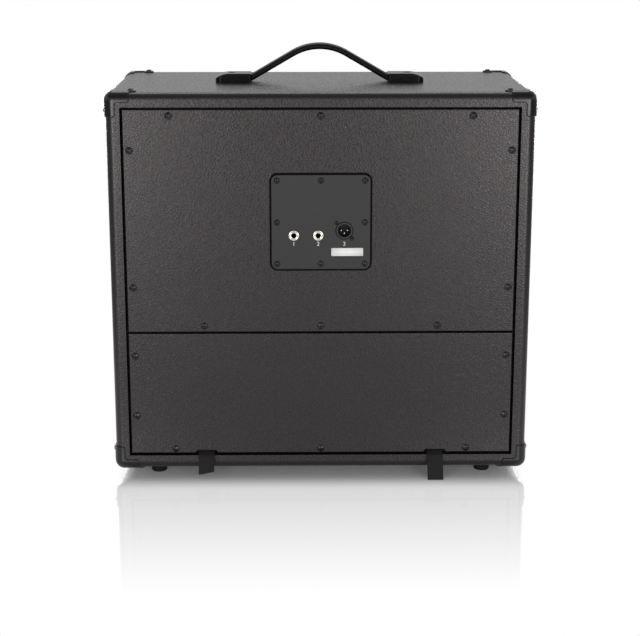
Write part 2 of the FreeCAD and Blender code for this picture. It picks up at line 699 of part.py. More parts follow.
baffle_blank = box("baffle_blank", (f"cab_width - 2*{LIP} - 2", "baffle_thick", f"cab_height - 2*{LIP} - 2"),
                   (f"-cab_width/2 + {LIP} + 1", BAFFLE_FACE, f"{BOTTOM} + {LIP} + 1"))
baffle_opening = cylinder("baffle_opening", "frame_radius - opening_inset", "baffle_thick + 4",
                          (0, f"{BAFFLE_FACE} - 2", MIDDLE), "y")
tee_holes = drills("tee_holes", tee_barrel + hole_play, dim("baffle_thick") + 8,
                   [(x, baffle_face - 2, z) for x, z in bolt_spots], (0, 1, 0))
tee_seats = drills("tee_seats", dim("tee_flange") + 0.2, dim("tee_sheet") + 0.1,
                   [(x, baffle_face, z) for x, z in bolt_spots], (0, 1, 0))
baffle_board = cut("baffle_board", baffle_blank,
                   fuse("baffle_tools", [baffle_opening, tee_holes, tee_seats, baffle_holes]))

# Grille frame, cloth and fastening pads

GRILLE_W = f"(cab_width - 2*{WALL} - 2*grille_clear)"
GRILLE_H = f"(cab_height - 2*{WALL} - 2*grille_clear)"
frame_block = box("frame_block", (f"{GRILLE_W} - 2*cloth", "grille_frame_thick", f"{GRILLE_H} - 2*cloth"),
                  (f"-{GRILLE_W}/2 + cloth", f"{GRILLE_FACE} + cloth", f"{MIDDLE} - {GRILLE_H}/2 + cloth"))
frame_room = box("frame_room", (f"{GRILLE_W} - 2*grille_frame_bar", "grille_frame_thick + 4",
                                f"{GRILLE_H} - 2*grille_frame_bar"),
                 (f"-{GRILLE_W}/2 + grille_frame_bar", GRILLE_FACE,
                  f"{MIDDLE} - {GRILLE_H}/2 + grille_frame_bar"))
grille_frame = cut("grille_frame", frame_block, frame_room)
cloth_block = box("cloth_block", (GRILLE_W, "grille_frame_thick + cloth", GRILLE_H),
                  (f"-{GRILLE_W}/2", GRILLE_FACE, f"{MIDDLE} - {GRILLE_H}/2"))
grille_cloth = cut("grille_cloth", cloth_block, frame_block)
pads = [box(f"grille_pad_{sx}_{sz}", ("pad_size", "pad_thick", "pad_size"),
            (f"{sx}*({GRILLE_W}/2 - grille_frame_bar/2 - 30) - pad_size/2", f"{BAFFLE_FACE} - pad_thick",
             f"{MIDDLE} + {sz}*({GRILLE_H}/2 - grille_frame_bar/2) - pad_size/2"))
        for sx in (-1, 1) for sz in (-1, 1)]
grille_pads = group("grille_pads", pads)

# Back panels

upper_board = upright_board("upper_board", f"cab_width - 2*{WALL} - 2*panel_gap",
                            f"cab_height - {WALL} - panel_gap - seam_height - seam_gap/2", "panel_thick",
                            "panel_edge", PANEL_FACE,
                            f"({TOP} - {WALL} - panel_gap + {SEAM} + seam_gap/2)/2")
lower_board = upright_board("lower_board", f"cab_width - 2*{WALL} - 2*panel_gap",
                            f"seam_height - {WALL} - panel_gap - seam_gap/2", "panel_thick",
                            "panel_edge", PANEL_FACE,
                            f"({BOTTOM} + {WALL} + panel_gap + {SEAM} - seam_gap/2)/2")
plate_window = box("plate_window", ("cutout_width", "panel_thick + 8", "cutout_height"),
                   ("-cutout_width/2", f"{PANEL_INNER} - 4", f"{PLATE_Z} - cutout_height/2"))
plate_spots = [(sx * dim("plate_screw_x"), plate_z + sz * dim("plate_screw_z"))
               for sx in (-1, 0, 1) for sz in (-1, 0, 1) if (sx, sz) != (0, 0)]
plate_holes = drills("plate_holes", dim("plate_shank") + hole_play, dim("plate_length") + 10,
                     [(x, plate_face + 4, z) for x, z in plate_spots], (0, -1, 0))
upper_back_panel = cut("upper_back_panel", upper_board,
                       group("upper_tools", [plate_window, panel_holes, plate_holes]))
notches = []
for side in (-1, 1):
    notch = doc.addObject("Part::Wedge", f"notch_{side}")
    bind(notch, "Xmin", "-notch_width/2")
    bind(notch, "Xmax", "notch_width/2")
    bind(notch, "X2min", "-notch_top/2")
    bind(notch, "X2max", "notch_top/2")
    bind(notch, "Ymin", "0")
    bind(notch, "Ymax", "notch_height")
    for low, high in (("Zmin", "Zmax"), ("Z2min", "Z2max")):
        bind(notch, low, "0")
        bind(notch, high, "panel_thick + 4")
    put(notch, f"{side}*strap_x", f"{PANEL_FACE} + 2", f"{BOTTOM} + {WALL} + panel_gap", "-y")
    notches.append(notch)
strap_holes = drills("strap_holes", wood_shank + hole_play, 0.75 * dim("panel_thick") + 1,
                     [(sx * dim("strap_x"), strap_inner - 1, strap_screw_z) for sx in (-1, 1)], (0, 1, 0))
lower_back_panel = cut("lower_back_panel", lower_board,
                       group("lower_tools", notches + [panel_holes, strap_holes]))
panel_screw = screw(dim("screw_head"), dim("screw_dome"), dim("screw_shank"), dim("screw_length"), 1.3)
back_panel_screws = screws("back_panel_screws", panel_screw,
                           [((x, panel_face, z), (0, 1, 0)) for x, z in panel_spots])

# Jack plate and its gasket

plate_body = doc.addObject("PartDesign::Body", "jack_plate")
plate_outline = rectangle(plate_body, "XZ_Plane", "plate_width", "plate_height", "plate_outline")
plate_pad = pad(plate_body, plate_outline, "plate_thick", "plate_pad")
plate_corners = round_edges(plate_body, plate_pad,
                            edges_where(plate_pad, lambda edge: runs_along(edge, V(0, 1, 0))),
                            "plate_corner", "plate_corners")
plate_outer = plate_corners.Shape.BoundBox.YMax
plate_soft = round_edges(
    plate_body, plate_corners,
    edges_where(plate_corners, lambda edge: all(abs(v.Y - plate_outer) < 1e-6 for v in edge.Vertexes)),
    "plate_edge", "plate_soft")
hole_spots = [("jack_x", "-jack_drop", "sleeve_radius + 0.15"),
              ("jack_x - jack_pitch", "-jack_drop", "sleeve_radius + 0.15"),
              ("-xlr_x", "-xlr_drop", "xlr_hole")]
hole_spots += [(f"-xlr_x + {sx}*xlr_screw", f"-xlr_drop + {sx}*xlr_screw", "plate_shank") for sx in (-1, 1)]
hole_spots += [(f"{sx}*plate_screw_x", f"{sz}*plate_screw_z", "plate_shank + 0.1")
               for sx in (-1, 0, 1) for sz in (-1, 0, 1) if (sx, sz) != (0, 0)]
plate_circles = circles(plate_body, "XZ_Plane", hole_spots, "plate_circles")
solid_volume = plate_soft.Shape.Volume
plate_pocket = plate_body.newObject("PartDesign::Pocket", "plate_pocket")
plate_pocket.Profile = plate_circles
plate_pocket.Type = "ThroughAll"
plate_pocket.Midplane = True
doc.recompute()
assert plate_pocket.Shape.Volume < solid_volume - 500, "the plate holes were not cut"
jack_plate = put(plate_body, 0, PLATE_FACE, PLATE_Z)

gasket_body = doc.addObject("PartDesign::Body", "gasket_body")
gasket_outline = rectangle(gasket_body, "XZ_Plane", "plate_width + 2*gasket_margin",
                           "plate_height + 2*gasket_margin", "gasket_outline")
gasket_pad = pad(gasket_body, gasket_outline, "gasket_thick", "gasket_pad")
round_edges(gasket_body, gasket_pad, edges_where(gasket_pad, lambda edge: runs_along(edge, V(0, 1, 0))),
            "plate_corner + gasket_margin", "gasket_round")
put(gasket_body, 0, PLATE_REAR, PLATE_Z)
jack_plate_gasket = cut("jack_plate_gasket", gasket_body,
                        group("gasket_tools", [plate_window, plate_holes]))
plate_screw = screw(dim("plate_head"), 0.54 * dim("plate_head"), dim("plate_shank"), dim("plate_length"), 1.1)
corner_row = screws("corner_row", plate_screw, [((x, plate_face, z), (0, 1, 0)) for x, z in plate_spots])

# Quarter-inch jacks

JACK_Z = f"({PLATE_Z} - jack_drop)"


def jack(name, x):
    sleeve_tube = cylinder(name + "_tube", "sleeve_radius", "plate_thick + nut_thick + housing_wall + 1.4",
                           (x, f"{PLATE_REAR} - housing_wall - 1", JACK_Z), "y")
    sleeve_flange = cylinder(name + "_flange", "sleeve_radius*1.38", "housing_wall*0.45",
                             (x, f"{PLATE_REAR} - housing_wall - 1", JACK_Z), "y")
    sleeve_bore = cylinder(name + "_bore", "jack_bore", "40", (x, f"{PLATE_REAR} - 20", JACK_Z), "y")
    sleeve = cut(name + "_sleeve", fuse(name + "_turned", [sleeve_tube, sleeve_flange]), sleeve_bore)
    nut_blank = cylinder(name + "_nut_blank", "nut_radius", "nut_thick", (x, PLATE_FACE, JACK_Z), "y")
    nut_hole = cylinder(name + "_nut_hole", "sleeve_radius + 0.1", "nut_thick + 2",
                        (x, f"{PLATE_FACE} - 1", JACK_Z), "y")
    nut = cut(name + "_nut", nut_blank, nut_hole)
    case_block = box(name + "_case", ("housing_width", "housing_depth", "housing_height"),
                     (f"{x} - housing_width/2", f"{PLATE_REAR} - housing_depth",
                      f"{JACK_Z} - housing_height/2"))
    case_room = box(name + "_room",
                    ("housing_width - 2*housing_wall", "housing_depth - 2*housing_wall",
                     "housing_height - 2*housing_wall"),
                    (f"{x} - housing_width/2 + housing_wall", f"{PLATE_REAR} - housing_depth + housing_wall",
                     f"{JACK_Z} - housing_height/2 + housing_wall"))
    case_hole = cylinder(name + "_case_hole", "sleeve_radius + 0.1", "housing_wall + 4",
                         (x, f"{PLATE_REAR} - housing_wall - 2", JACK_Z), "y")
    case_shell = cut(name + "_shell", case_block, fuse(name + "_hollow", [case_room, case_hole]))
    leaf_level = f"({JACK_Z} + contact_lift)"
    root_y = f"({PLATE_REAR} - housing_wall - contact_root)"
    leaf_length = "(housing_depth - 2*housing_wall - contact_root - 2)"
    block_height = "(housing_height/2 - housing_wall - contact_lift - 0.3)"
    block = box(name + "_block", ("contact_width + 2", "0.8*contact_root", block_height),
                (f"{x} - contact_width/2 - 1", f"{root_y} - 0.78*contact_root",
                 f"{leaf_level} + contact_sheet/2 + 0.3"))
    housing = fuse(name + "_housing", [case_shell, block])
    leaf = box(name + "_leaf", ("contact_width", leaf_length, "contact_sheet"),
               (f"{x} - contact_width/2", f"{root_y} - {leaf_length}", f"{leaf_level} - contact_sheet/2"))
    root = cylinder(name + "_root", "contact_sheet/2", "contact_width",
                    (f"{x} - contact_width/2", root_y, leaf_level), "x")
    bump = cylinder(name + "_bump", "contact_bump", "contact_width",
                    (f"{x} - contact_width/2", f"{root_y} - {leaf_length} + contact_bump + 0.7",
                     f"{leaf_level} - contact_bump + 0.3"), "x")
    spring = fuse(name + "_tip_spring", [leaf, root, bump])
    return [sleeve, nut, housing, spring]


input_jack = jack("input_jack", "jack_x")
link_jack = jack("link_jack", "(jack_x - jack_pitch)")

# Three-pin male socket

XLR_X = "(-xlr_x)"
XLR_Z = f"({PLATE_Z} - xlr_drop)"
xlr_tube = cylinder("xlr_tube", "xlr_radius", "xlr_depth + plate_thick + 0.8",
                    (XLR_X, f"{PLATE_REAR} - xlr_depth", XLR_Z), "y")
xlr_flange = box("xlr_flange", ("xlr_flange_size", "2", "xlr_flange_size"),
                 (f"{XLR_X} - xlr_flange_size/2", f"{PLATE_REAR} - 2", f"{XLR_Z} - xlr_flange_size/2"))
xlr_room = cylinder("xlr_room", "xlr_bore", "xlr_depth + 20",
                    (XLR_X, f"{PLATE_REAR} - xlr_depth - 5", XLR_Z), "y")
xlr_key = box("xlr_key", ("2.2", "xlr_depth - xlr_floor - 3", "1.5"),
              (f"{XLR_X} - 1.1", f"{PLATE_REAR} - xlr_depth + xlr_floor + 2", f"{XLR_Z} + xlr_bore - 1"))
xlr_drills = drills("xlr_drills", 1.3, 12,
                    [(-dim("xlr_x") + s * dim("xlr_screw"), plate_rear - 6,
                      plate_z - dim("xlr_drop") + s * dim("xlr_screw")) for s in (-1, 1)], (0, 1, 0))
xlr_open = cut("xlr_open", fuse("xlr_solid", [xlr_tube, xlr_flange]),
               fuse("xlr_cuts", [xlr_room, xlr_drills]))
xlr_shell = fuse("xlr_shell", [xlr_open, xlr_key])
xlr_disc = cylinder("xlr_disc", "xlr_bore - 0.05", "xlr_floor",
                    (XLR_X, f"{PLATE_REAR} - xlr_depth", XLR_Z), "y")
pin_places = [("pin_pitch", "0"), ("-pin_pitch", "0"), ("0", "-pin_pitch")]
pin_bars = []
pin_tools = []
for index, (dx, dz) in enumerate(pin_places):
    base = (f"{XLR_X} + {dx}", f"{PLATE_REAR} - xlr_depth - 4", f"{XLR_Z} + {dz}")
    shaft = cylinder(f"xlr_pin_shaft_{index}", "pin_radius", "xlr_depth + 4 - 0.6", base, "y")
    nose = cone(f"xlr_pin_nose_{index}", "pin_radius", "pin_radius*0.5", "0.8",
                (base[0], f"{PLATE_REAR} - 0.6", base[2]), "y")
    pin_bars.append(fuse(f"xlr_pin_{index}", [shaft, nose]))
    pin_tools.append(cylinder(f"xlr_pin_hole_{index}", "pin_radius + 0.05", "xlr_depth + 10", base, "y"))
xlr_insert = cut("xlr_insert", xlr_disc, group("xlr_pin_holes", pin_tools))
xlr_pins = group("xlr_pins", pin_bars)
xlr_screws = screws("xlr_screws", screw(2.7, 1.6, 1.2, 7, 0.9),
                    [((-dim("xlr_x") + s * dim("xlr_screw"), plate_face,
                       plate_z - dim("xlr_drop") + s * dim("xlr_screw")), (0, 1, 0)) for s in (-1, 1)])

jack_plate_screws = group("jack_plate_screws", [corner_row, xlr_screws])

# Rubber feet

feet = []
for index, (sx, end) in enumerate([(sx, end) for sx in (-1, 1) for end in ("front", "back")]):
    x = f"{sx}*(cab_width/2 - foot_side)"
    y = f"{FRONT} + foot_end" if end == "front" else f"{BACK} - foot_end"
    dome = cone(f"foot_dome_{index}", "foot_tip", "foot_radius", "foot_height", (x, y, 0))
    doc.recompute()
    soft = doc.addObject("Part::Fillet", f"foot_soft_{index}")
    soft.Base = dome
    floor_edges = [number for number, edge in enumerate(dome.Shape.Edges, start=1)
                   if edge.BoundBox.ZMax < 0.01]
    soft.Edges = [(number, dim("foot_edge"), dim("foot_edge")) for number in floor_edges]
    well = cylinder(f"foot_well_{index}", "foot_tip*0.48", "foot_height/2", (x, y, 0))
    bore = cylinder(f"foot_bore_{index}", str(wood_shank + hole_play), "foot_height + 2", (x, y, -1))
    feet.append(cut(f"foot_{index}", soft, fuse(f"foot_cut_{index}", [well, bore])))
rubber_feet = group("rubber_feet", feet)
foot_screw_length = dim("foot_height") / 2 + 0.8 * dim("ply")
foot_screws = screws("foot_screws", screw(0.4 * dim("foot_tip"), 2.2, wood_shank, foot_screw_length, 1.1),
                     [((x, y, dim("foot_height") / 2), (0, 0, -1)) for x, y in foot_spots])

# Corner protectors: a thin shell over each corner, with two screw lugs

outer_block = rounded_block("outer_block", "cab_width + 2*corner_thick", "cab_depth + 2*corner_thick",
                            "cab_height + 2*corner_thick", "edge_radius + corner_thick",
                            "-origin_shift", "foot_height - corner_thick")
corner_skin = cut("corner_skin", outer_block, skin_block)
over = dim("corner_thick") + 1
leg = dim("corner_leg")
face_width = dim("corner_face")
wrap = dim("edge_radius") * (1 - math.sqrt(0.5)) + 1.5


def leg_prism():
    """Two legs at a right angle on one face of a corner, with rounded ends and a rounded crook."""
    outline = [(-over, -over), (leg, -over), (leg, face_width), (face_width, face_width),
               (face_width, leg), (-over, leg), (-over, -over)]
    prism = Part.Face(Part.makePolygon([V(a, b, -over) for a, b in outline])).extrude(V(0, 0, over + wrap))
    turned = [edge for edge in prism.Edges if runs_along(edge, V(0, 0, 1))
              and min(edge.CenterOfMass.x, edge.CenterOfMass.y) > 0]
    return prism.makeFillet(dim("corner_turn"), turned)


def corner_mask():
    """The three faces of one corner, seen from inside it, with a lug on the flat and one on the side."""
    faces = []
    for turn in (0, 120, 240):
        prism = leg_prism()
        prism.Placement = FreeCAD.Placement(V(0, 0, 0), FreeCAD.Rotation(V(1, 1, 1), turn))
        faces.append(prism)
    lug = dim("lug_radius")
    faces.append(axis_cylinder(lug, over + wrap, (lug_along, lug_in, -over), (0, 0, 1)))
    faces.append(axis_cylinder(lug, over + wrap, (-over, dim("lug_side_in"), side_along), (1, 0, 0)))
    return faces[0].multiFuse(faces[1:]).removeSplitter()


masks = []
for sx in (-1, 1):
    for sy in (-1, 1):
        for sz in (-1, 1):
            mask = corner_mask()
            for sign, axis in ((sx, V(1, 0, 0)), (sy, V(0, 1, 0)), (sz, V(0, 0, 1))):
                mask = mask.mirror(V(0, 0, 0), axis) if sign > 0 else mask
            mask.translate(V(sx * half_width, back if sy > 0 else front, top if sz > 0 else bottom))
            masks.append(mask)
corner_masks = feature("corner_masks", Part.makeCompound(masks))
corner_raw = common("corner_raw", corner_skin, corner_masks)
corner_cut = cut("corner_cut", corner_raw, lug_holes)


def soft_rim(solid, skin, hole):
    """Edges where the outer surface of a protector meets a side wall; its screw holes stay sharp."""
    outer = [face for face in solid.Faces
             if all(skin.distToShape(vertex)[0] < 0.001 for vertex in face.Vertexes)]
    rim = []
    for edge in solid.Edges:
        plain = edge.Length > 0.5 and abs(edge.Length - 2 * math.pi * hole) > 0.1
        touching = sum(any(edge.isSame(other) for other in face.Edges) for face in outer)
        if plain and touching == 1:
            rim.append(edge)
    return rim


# One protector is softened along its rim and mirrored to the other corners.

doc.recompute()
cabinet_middle = V(0, (back + front) / 2, (top + bottom) / 2)
first = max(corner_cut.Shape.Solids, key=lambda solid: sum(solid.CenterOfMass))
first_rim = soft_rim(first, outer_block.Shape.Shells[0], dim("corner_shank") + hole_play)
protectors = [first.makeFillet(dim("corner_rim"), first_rim)]
for axis in (V(1, 0, 0), V(0, 1, 0), V(0, 0, 1)):
    protectors += [solid.mirror(cabinet_middle, axis) for solid in protectors]
corner_protectors = feature("corner_protectors", Part.makeCompound(protectors))
corner_screw = screw(dim("corner_head"), 0.54 * dim("corner_head"), dim("corner_shank"),
                     dim("corner_length"), 1.2)
corner_screws = screws("corner_screws", corner_screw, lug_spots)

# Carrying handle: a padded strap over a steel strip, held by two end caps

slope = math.radians(dim("handle_slope"))
rise = dim("handle_apex") - dim("handle_flat")
top_r = dim("handle_top_radius")
low_r = dim("handle_low_radius")
flank_rise = rise - (top_r + low_r) * (1 - math.cos(slope))
span = (top_r + low_r) * math.sin(slope) + flank_rise / math.tan(slope)
flat_z = top + dim("handle_flat")
apex_z = top + dim("handle_apex")
mid_y = -dim("origin_shift")


def handle_path(end_x):
    knee_x = span - low_r * math.tan(slope / 2)
    ridge = apex_z + top_r * (1 / math.cos(slope) - 1)
    left = smooth_path([(-end_x, mid_y, flat_z), (-knee_x, mid_y, flat_z), (0, mid_y, ridge)], low_r)
    first = list(left.Edges)[:2]
    arc_x = top_r * math.sin(slope)
    arc_z = apex_z - top_r * (1 - math.cos(slope))
    tangent = V(-arc_x, mid_y, arc_z)
    flank = Part.LineSegment(first[1].lastVertex().Point, tangent).toShape()
    crown = Part.Arc(tangent, V(0, mid_y, apex_z), V(arc_x, mid_y, arc_z)).toShape()
    plane_point = V(0, mid_y, 0)
    other = [edge.mirror(plane_point, V(1, 0, 0)) for edge in (flank, first[1], first[0])]
    return Part.Wire(Part.__sortEdges__(first + [flank, crown] + other))


def strip_section(end_x, width, thick, rounding):
    flat = Part.makeBox(1, width, thick, V(-end_x, mid_y - width / 2, flat_z - thick / 2))
    if rounding:
        along = [edge for edge in flat.Edges if runs_along(edge, V(1, 0, 0))]
        flat = flat.makeFillet(rounding, along)
    face = min(flat.Faces, key=lambda item: item.CenterOfMass.x)
    return face.OuterWire


strap_end = dim("cap_outer") - 7
strap_outer = feature("strap_outer", swept(
    handle_path(strap_end), strip_section(strap_end, dim("handle_width"), dim("handle_thick"),
                                          dim("handle_thick") / 2 - 0.6)))
core_bar = feature("core_bar", swept(
    handle_path(strap_end), strip_section(strap_end, dim("core_width"), dim("core_thick"), 0)))
cap_drill = drills("cap_drill", bolt_shank + hole_play, 40, [(x, y, top - 10) for x, y in cap_spots],
                   (0, 0, 1))
handle_strap = cut("handle_strap", strap_outer, group("strap_cuts", [core_bar, cap_drill]))
handle_core = cut("handle_core", core_bar, cap_drill)

cap_room = feature("cap_room", swept(
    handle_path(strap_end + 0.6), strip_section(strap_end + 0.6, dim("handle_width") + 1.2,
                                                dim("handle_thick") + 1, 0)))


def cap_block():
    """The cap at the positive end: a flat roof that curves down to a low outer end, its edges rounded."""
    inner = dim("cap_inner")
    outer = dim("cap_outer")
    start = outer - dim("cap_curve")
    roof = top + dim("cap_height")
    sag = dim("cap_height") - dim("cap_toe")
    bend = (dim("cap_curve") ** 2 + sag ** 2) / (2 * sag)
    between = dim("cap_curve") / 2
    side_y = mid_y - dim("cap_width") / 2
    foot_in = V(inner, side_y, top)
    foot_out = V(outer, side_y, top)
    toe = V(outer, side_y, roof - sag)
    crest = V(start + between, side_y, roof - bend + math.sqrt(bend ** 2 - between ** 2))
    brow = V(start, side_y, roof)
    back_in = V(inner, side_y, roof)
    profile = Part.Wire([Part.makeLine(foot_in, foot_out), Part.makeLine(foot_out, toe),
                         Part.Arc(toe, crest, brow).toShape(), Part.makeLine(brow, back_in),
                         Part.makeLine(back_in, foot_in)])
    block = Part.Face(profile).extrude(V(0, dim("cap_width"), 0))
    for place, radius in ((outer, 7), (inner, 3)):
        upright = [edge for edge in block.Edges
                   if runs_along(edge, V(0, 0, 1)) and abs(edge.CenterOfMass.x - place) < 0.001]
        block = block.makeFillet(radius, upright)
    upper = [face for face in block.Faces
             if face.normalAt(*face.Surface.parameter(face.CenterOfMass)).z > 0.5]
    rim = [edge for edge in block.Edges
           if sum(any(edge.isSame(other) for other in face.Edges) for face in upper) == 1]
    return block.makeFillet(2, rim)


def end_cap(name, side):
    block = cap_block()
    body = feature(name + "_block", block if side > 0 else block.mirror(V(0, 0, 0), V(1, 0, 0)))
    well = cylinder(name + "_well", "bolt_head + 0.2", "6",
                    (f"{side}*cap_bolt", "-origin_shift", f"{TOP} + cap_height - 2.6"))
    return cut(name, body, group(name + "_cuts", [cap_room, well, cap_drill]))


left_handle_cap = end_cap("left_handle_cap", 1)
right_handle_cap = end_cap("right_handle_cap", -1)
bolt_seat = top + dim("cap_height") - 2.6
cap_bolt_screw = screw(0.95 * dim("bolt_head"), 2.2, bolt_shank, bolt_seat - top + wall + 3, 1.2)
handle_bolts = screws("handle_bolts", cap_bolt_screw,
                      [((x, y, bolt_seat), (0, 0, 1)) for x, y in cap_spots])

# Tee nuts for the handle bolts and the loudspeaker bolts


def tee_nut(reach):
    barrel = Part.makeCylinder(tee_barrel, reach)
    flange = Part.makeCylinder(dim("tee_flange"), dim("tee_sheet"))
    bore = Part.makeCylinder(bolt_shank + hole_play, reach + 4, V(0, 0, -2))
    return barrel.fuse(flange).removeSplitter().cut(bore)


nut_spots = [((x, y, top - lip - dim("tee_sheet")), (0, 0, 1)) for x, y in cap_spots]
nut_spots += [((x, baffle_face, z), (0, 1, 0)) for x, z in bolt_spots]
tee_nuts = screws("tee_nuts", tee_nut(dim("tee_reach")), nut_spots)

# Pull straps: an anchored run inside the lower panel and a free tail

strap_mid = panel_inner - dim("strap_thick") / 2
hinge_y = back + dim("strap_thick") / 2
anchor_end = hinge_y - dim("strap_thick") / 2 - 0.3


def anchor(x):
    z = strap_screw_z + dim("strap_end")
    path = smooth_path([(x, strap_mid, z), (x, strap_mid, strap_level), (x, anchor_end, strap_level)], 2.2)
    half = dim("strap_width") / 2
    thin = dim("strap_thick") / 2
    section = Part.makePolygon([V(x - half, strap_mid - thin, z), V(x + half, strap_mid - thin, z),
                                V(x + half, strap_mid + thin, z), V(x - half, strap_mid + thin, z),
                                V(x - half, strap_mid - thin, z)])
    return swept(path, section)


anchors_raw = feature("anchors_raw", Part.makeCompound([anchor(sx * dim("strap_x")) for sx in (-1, 1)]))
pull_strap_anchors = cut("pull_strap_anchors", anchors_raw, strap_holes)


def tail(name, side, length, slant):
    """A flat free end, longer by the slant on its left edge, that hangs from a round root."""
    flap = doc.addObject("Part::Wedge", name + "_flap")
    hang = FreeCAD.Rotation(V(0, 0, -1), V(1, 0, 0), V(0, -1, 0), "XYZ")
    flap.Placement = FreeCAD.Placement(V(0, 0, 0), hang)
    bind(flap, "Ymin", "-strap_width/2")
    bind(flap, "Ymax", "strap_width/2")
    bind(flap, "Xmin", "0")
    bind(flap, "X2min", "0")
    bind(flap, "Xmax", f"{length} - {slant}/2")
    bind(flap, "X2max", f"{length} + {slant}/2")
    for low, high in (("Zmin", "Zmax"), ("Z2min", "Z2max")):
        bind(flap, low, "-strap_thick/2")
        bind(flap, high, "strap_thick/2")
    root = cylinder(name + "_root", "strap_thick/2", "strap_width", ("-strap_width/2", 0, 0), "x")
    strap = fuse(name, [flap, root])
    strap.Placement = FreeCAD.Placement(V(0, 0, 0), FreeCAD.Rotation(V(1, 0, 0), dim("strap_lean")))
    bind(strap, "Placement.Base.x", f"{side}*strap_x")
    bind(strap, "Placement.Base.y", f"{BACK} + strap_thick/2")
    bind(strap, "Placement.Base.z", f"{BOTTOM} + {WALL} + 0.3 + strap_thick/2")
    return strap


left_pull_strap = tail("left_pull_strap", 1, "left_tail", "left_slant")
right_pull_strap = tail("right_pull_strap", -1, "right_tail", "0")

# Loudspeaker: distances run backwards from the rear of the baffle


def rear(offset):
    return f"{BAFFLE_REAR} + {offset}"


def ring(name, radius_out, radius_in, length, offset):
    outer = cylinder(name + "_out", radius_out, length, (0, rear(offset), MIDDLE), "y")
    inner = cylinder(name + "_in", radius_in, f"{length} + 2", (0, rear(f"{offset} - 1"), MIDDLE), "y")
    return cut(name, outer, inner)


RIM = "(frame_radius - rim_inset)"
WALL_AT = "(frame_card + frame_sheet)"
LEDGE_AT = f"({WALL_AT} + basket_depth)"
POT_END = f"({LEDGE_AT} + pot_depth)"
MAGNET_AT = f"({POT_END} + pole_plate)"
YOKE_AT = f"({MAGNET_AT} + magnet_thick)"
wall_at = dim("frame_card") + dim("frame_sheet")
ledge_at = wall_at + dim("basket_depth")
rim = dim("frame_radius") - dim("rim_inset")

bolt_clearance = drills("bolt_clearance", bolt_shank + 0.2, wall_at + 12,
                        [(x, baffle_rear - 4, z) for x, z in bolt_spots], (0, 1, 0))
speaker_gasket = cut("speaker_gasket",
                     ring("card_ring", "frame_radius", "frame_radius - card_width", "frame_card", "0"),
                     bolt_clearance)
flange_ring = ring("flange_ring", "frame_radius", "frame_radius - frame_flange", "frame_sheet", "frame_card")
slope_wall = cone("slope_wall", "frame_radius - frame_flange + 3", "neck_radius", "basket_depth",
                  (0, rear(WALL_AT), MIDDLE), "y")
slope_room = cone("slope_room", "frame_radius - frame_flange + 0.4", "neck_radius - 2.6", "basket_depth",
                  (0, rear(WALL_AT), MIDDLE), "y")
ledge = cylinder("ledge", "neck_radius", "frame_sheet", (0, rear(LEDGE_AT), MIDDLE), "y")
pot_out = cylinder("pot_out", "pot_radius", "pot_depth", (0, rear(LEDGE_AT), MIDDLE), "y")
pot_in = cylinder("pot_in", "pot_radius - frame_sheet", "pot_depth - frame_sheet",
                  (0, rear(LEDGE_AT), MIDDLE), "y")
pot_hole = cylinder("pot_hole", "pot_hole_radius", "pot_depth + 4", (0, rear(f"{LEDGE_AT} - 1"), MIDDLE), "y")
windows = []
for step in range(6):
    slot = Part.makeBox(dim("window_width"), dim("window_depth"), dim("frame_radius") - dim("frame_flange"),
                        V(-dim("window_width") / 2, dim("window_start"), 0))
    turn = FreeCAD.Rotation(V(0, 1, 0), 60 * step)
    slot.Placement = FreeCAD.Placement(V(0, baffle_rear, middle), turn)
    windows.append(slot)
basket_windows = feature("basket_windows", Part.makeCompound(windows))
basket_wall = cut("basket_wall", cut("basket_cone", slope_wall, slope_room), basket_windows)
basket_pot = cut("basket_pot", fuse("basket_base", [ledge, pot_out]), fuse("pot_cuts", [pot_in, pot_hole]))
speaker_basket = cut("speaker_basket", fuse("basket_body", [flange_ring, basket_wall, basket_pot]),
                     bolt_clearance)
top_plate = ring("top_plate", "top_plate_radius", "coil_radius + coil_gap", "pole_plate", POT_END)
magnet = ring("magnet", "magnet_radius", "magnet_hole", "magnet_thick", MAGNET_AT)
yoke_disc = cylinder("yoke_disc", "magnet_radius - yoke_inset", "pole_plate", (0, rear(YOKE_AT), MIDDLE), "y")
pole = cylinder("pole", "coil_radius - 0.9", "2*pole_plate + magnet_thick + 1",
                (0, rear(f"{POT_END} - 1"), MIDDLE), "y")
vent = cylinder("vent", "vent_radius", "3*pole_plate + magnet_thick + 20",
                (0, rear(f"{POT_END} - 10"), MIDDLE), "y")
back_yoke = cut("back_yoke", fuse("yoke_solid", [yoke_disc, pole]), vent)

# Moving cone with its coil, and the two suspensions

CONE_AT = "(frame_card + 0.8)"
CONE_OUT = f"({RIM} - rim_width)"
CONE_IN = f"({CONE_OUT} - 1.35*cone_wall)"
cone_outer = cone("cone_outer", CONE_OUT, "coil_radius + cone_wall", "cone_depth",
                  (0, rear(CONE_AT), MIDDLE), "y")
cone_inner = cone("cone_inner", CONE_IN, "coil_radius", "cone_depth + 0.02",
                  (0, rear(f"{CONE_AT} - 0.01"), MIDDLE), "y")
rim_ring = ring("rim_ring", RIM, CONE_IN, "1", "frame_card + 0.4")
neck = ring("neck", "coil_radius + cone_wall", "coil_radius + 0.02", "4", f"{CONE_AT} + cone_depth - 1.2")
cone_shell = cut("cone_shell", cone_outer, cone_inner)
speaker_cone = fuse("speaker_cone", [cone_shell, rim_ring, neck])
coil_former = ring("coil_former", "coil_radius", "coil_radius - 0.25", "former_length",
                   f"{CONE_AT} + cone_depth - 2.8")
coil_winding = ring("coil_winding", "coil_radius + 0.65", "coil_radius + 0.02", "coil_length",
                    f"{POT_END} + pole_plate/2 - coil_length/2")
voice_coil = group("voice_coil", [coil_former, coil_winding])
cap_base = dim("dust_radius")
cap_rise = dim("dust_rise")
cap_ball = (cap_base ** 2 + cap_rise ** 2) / (2 * cap_rise)
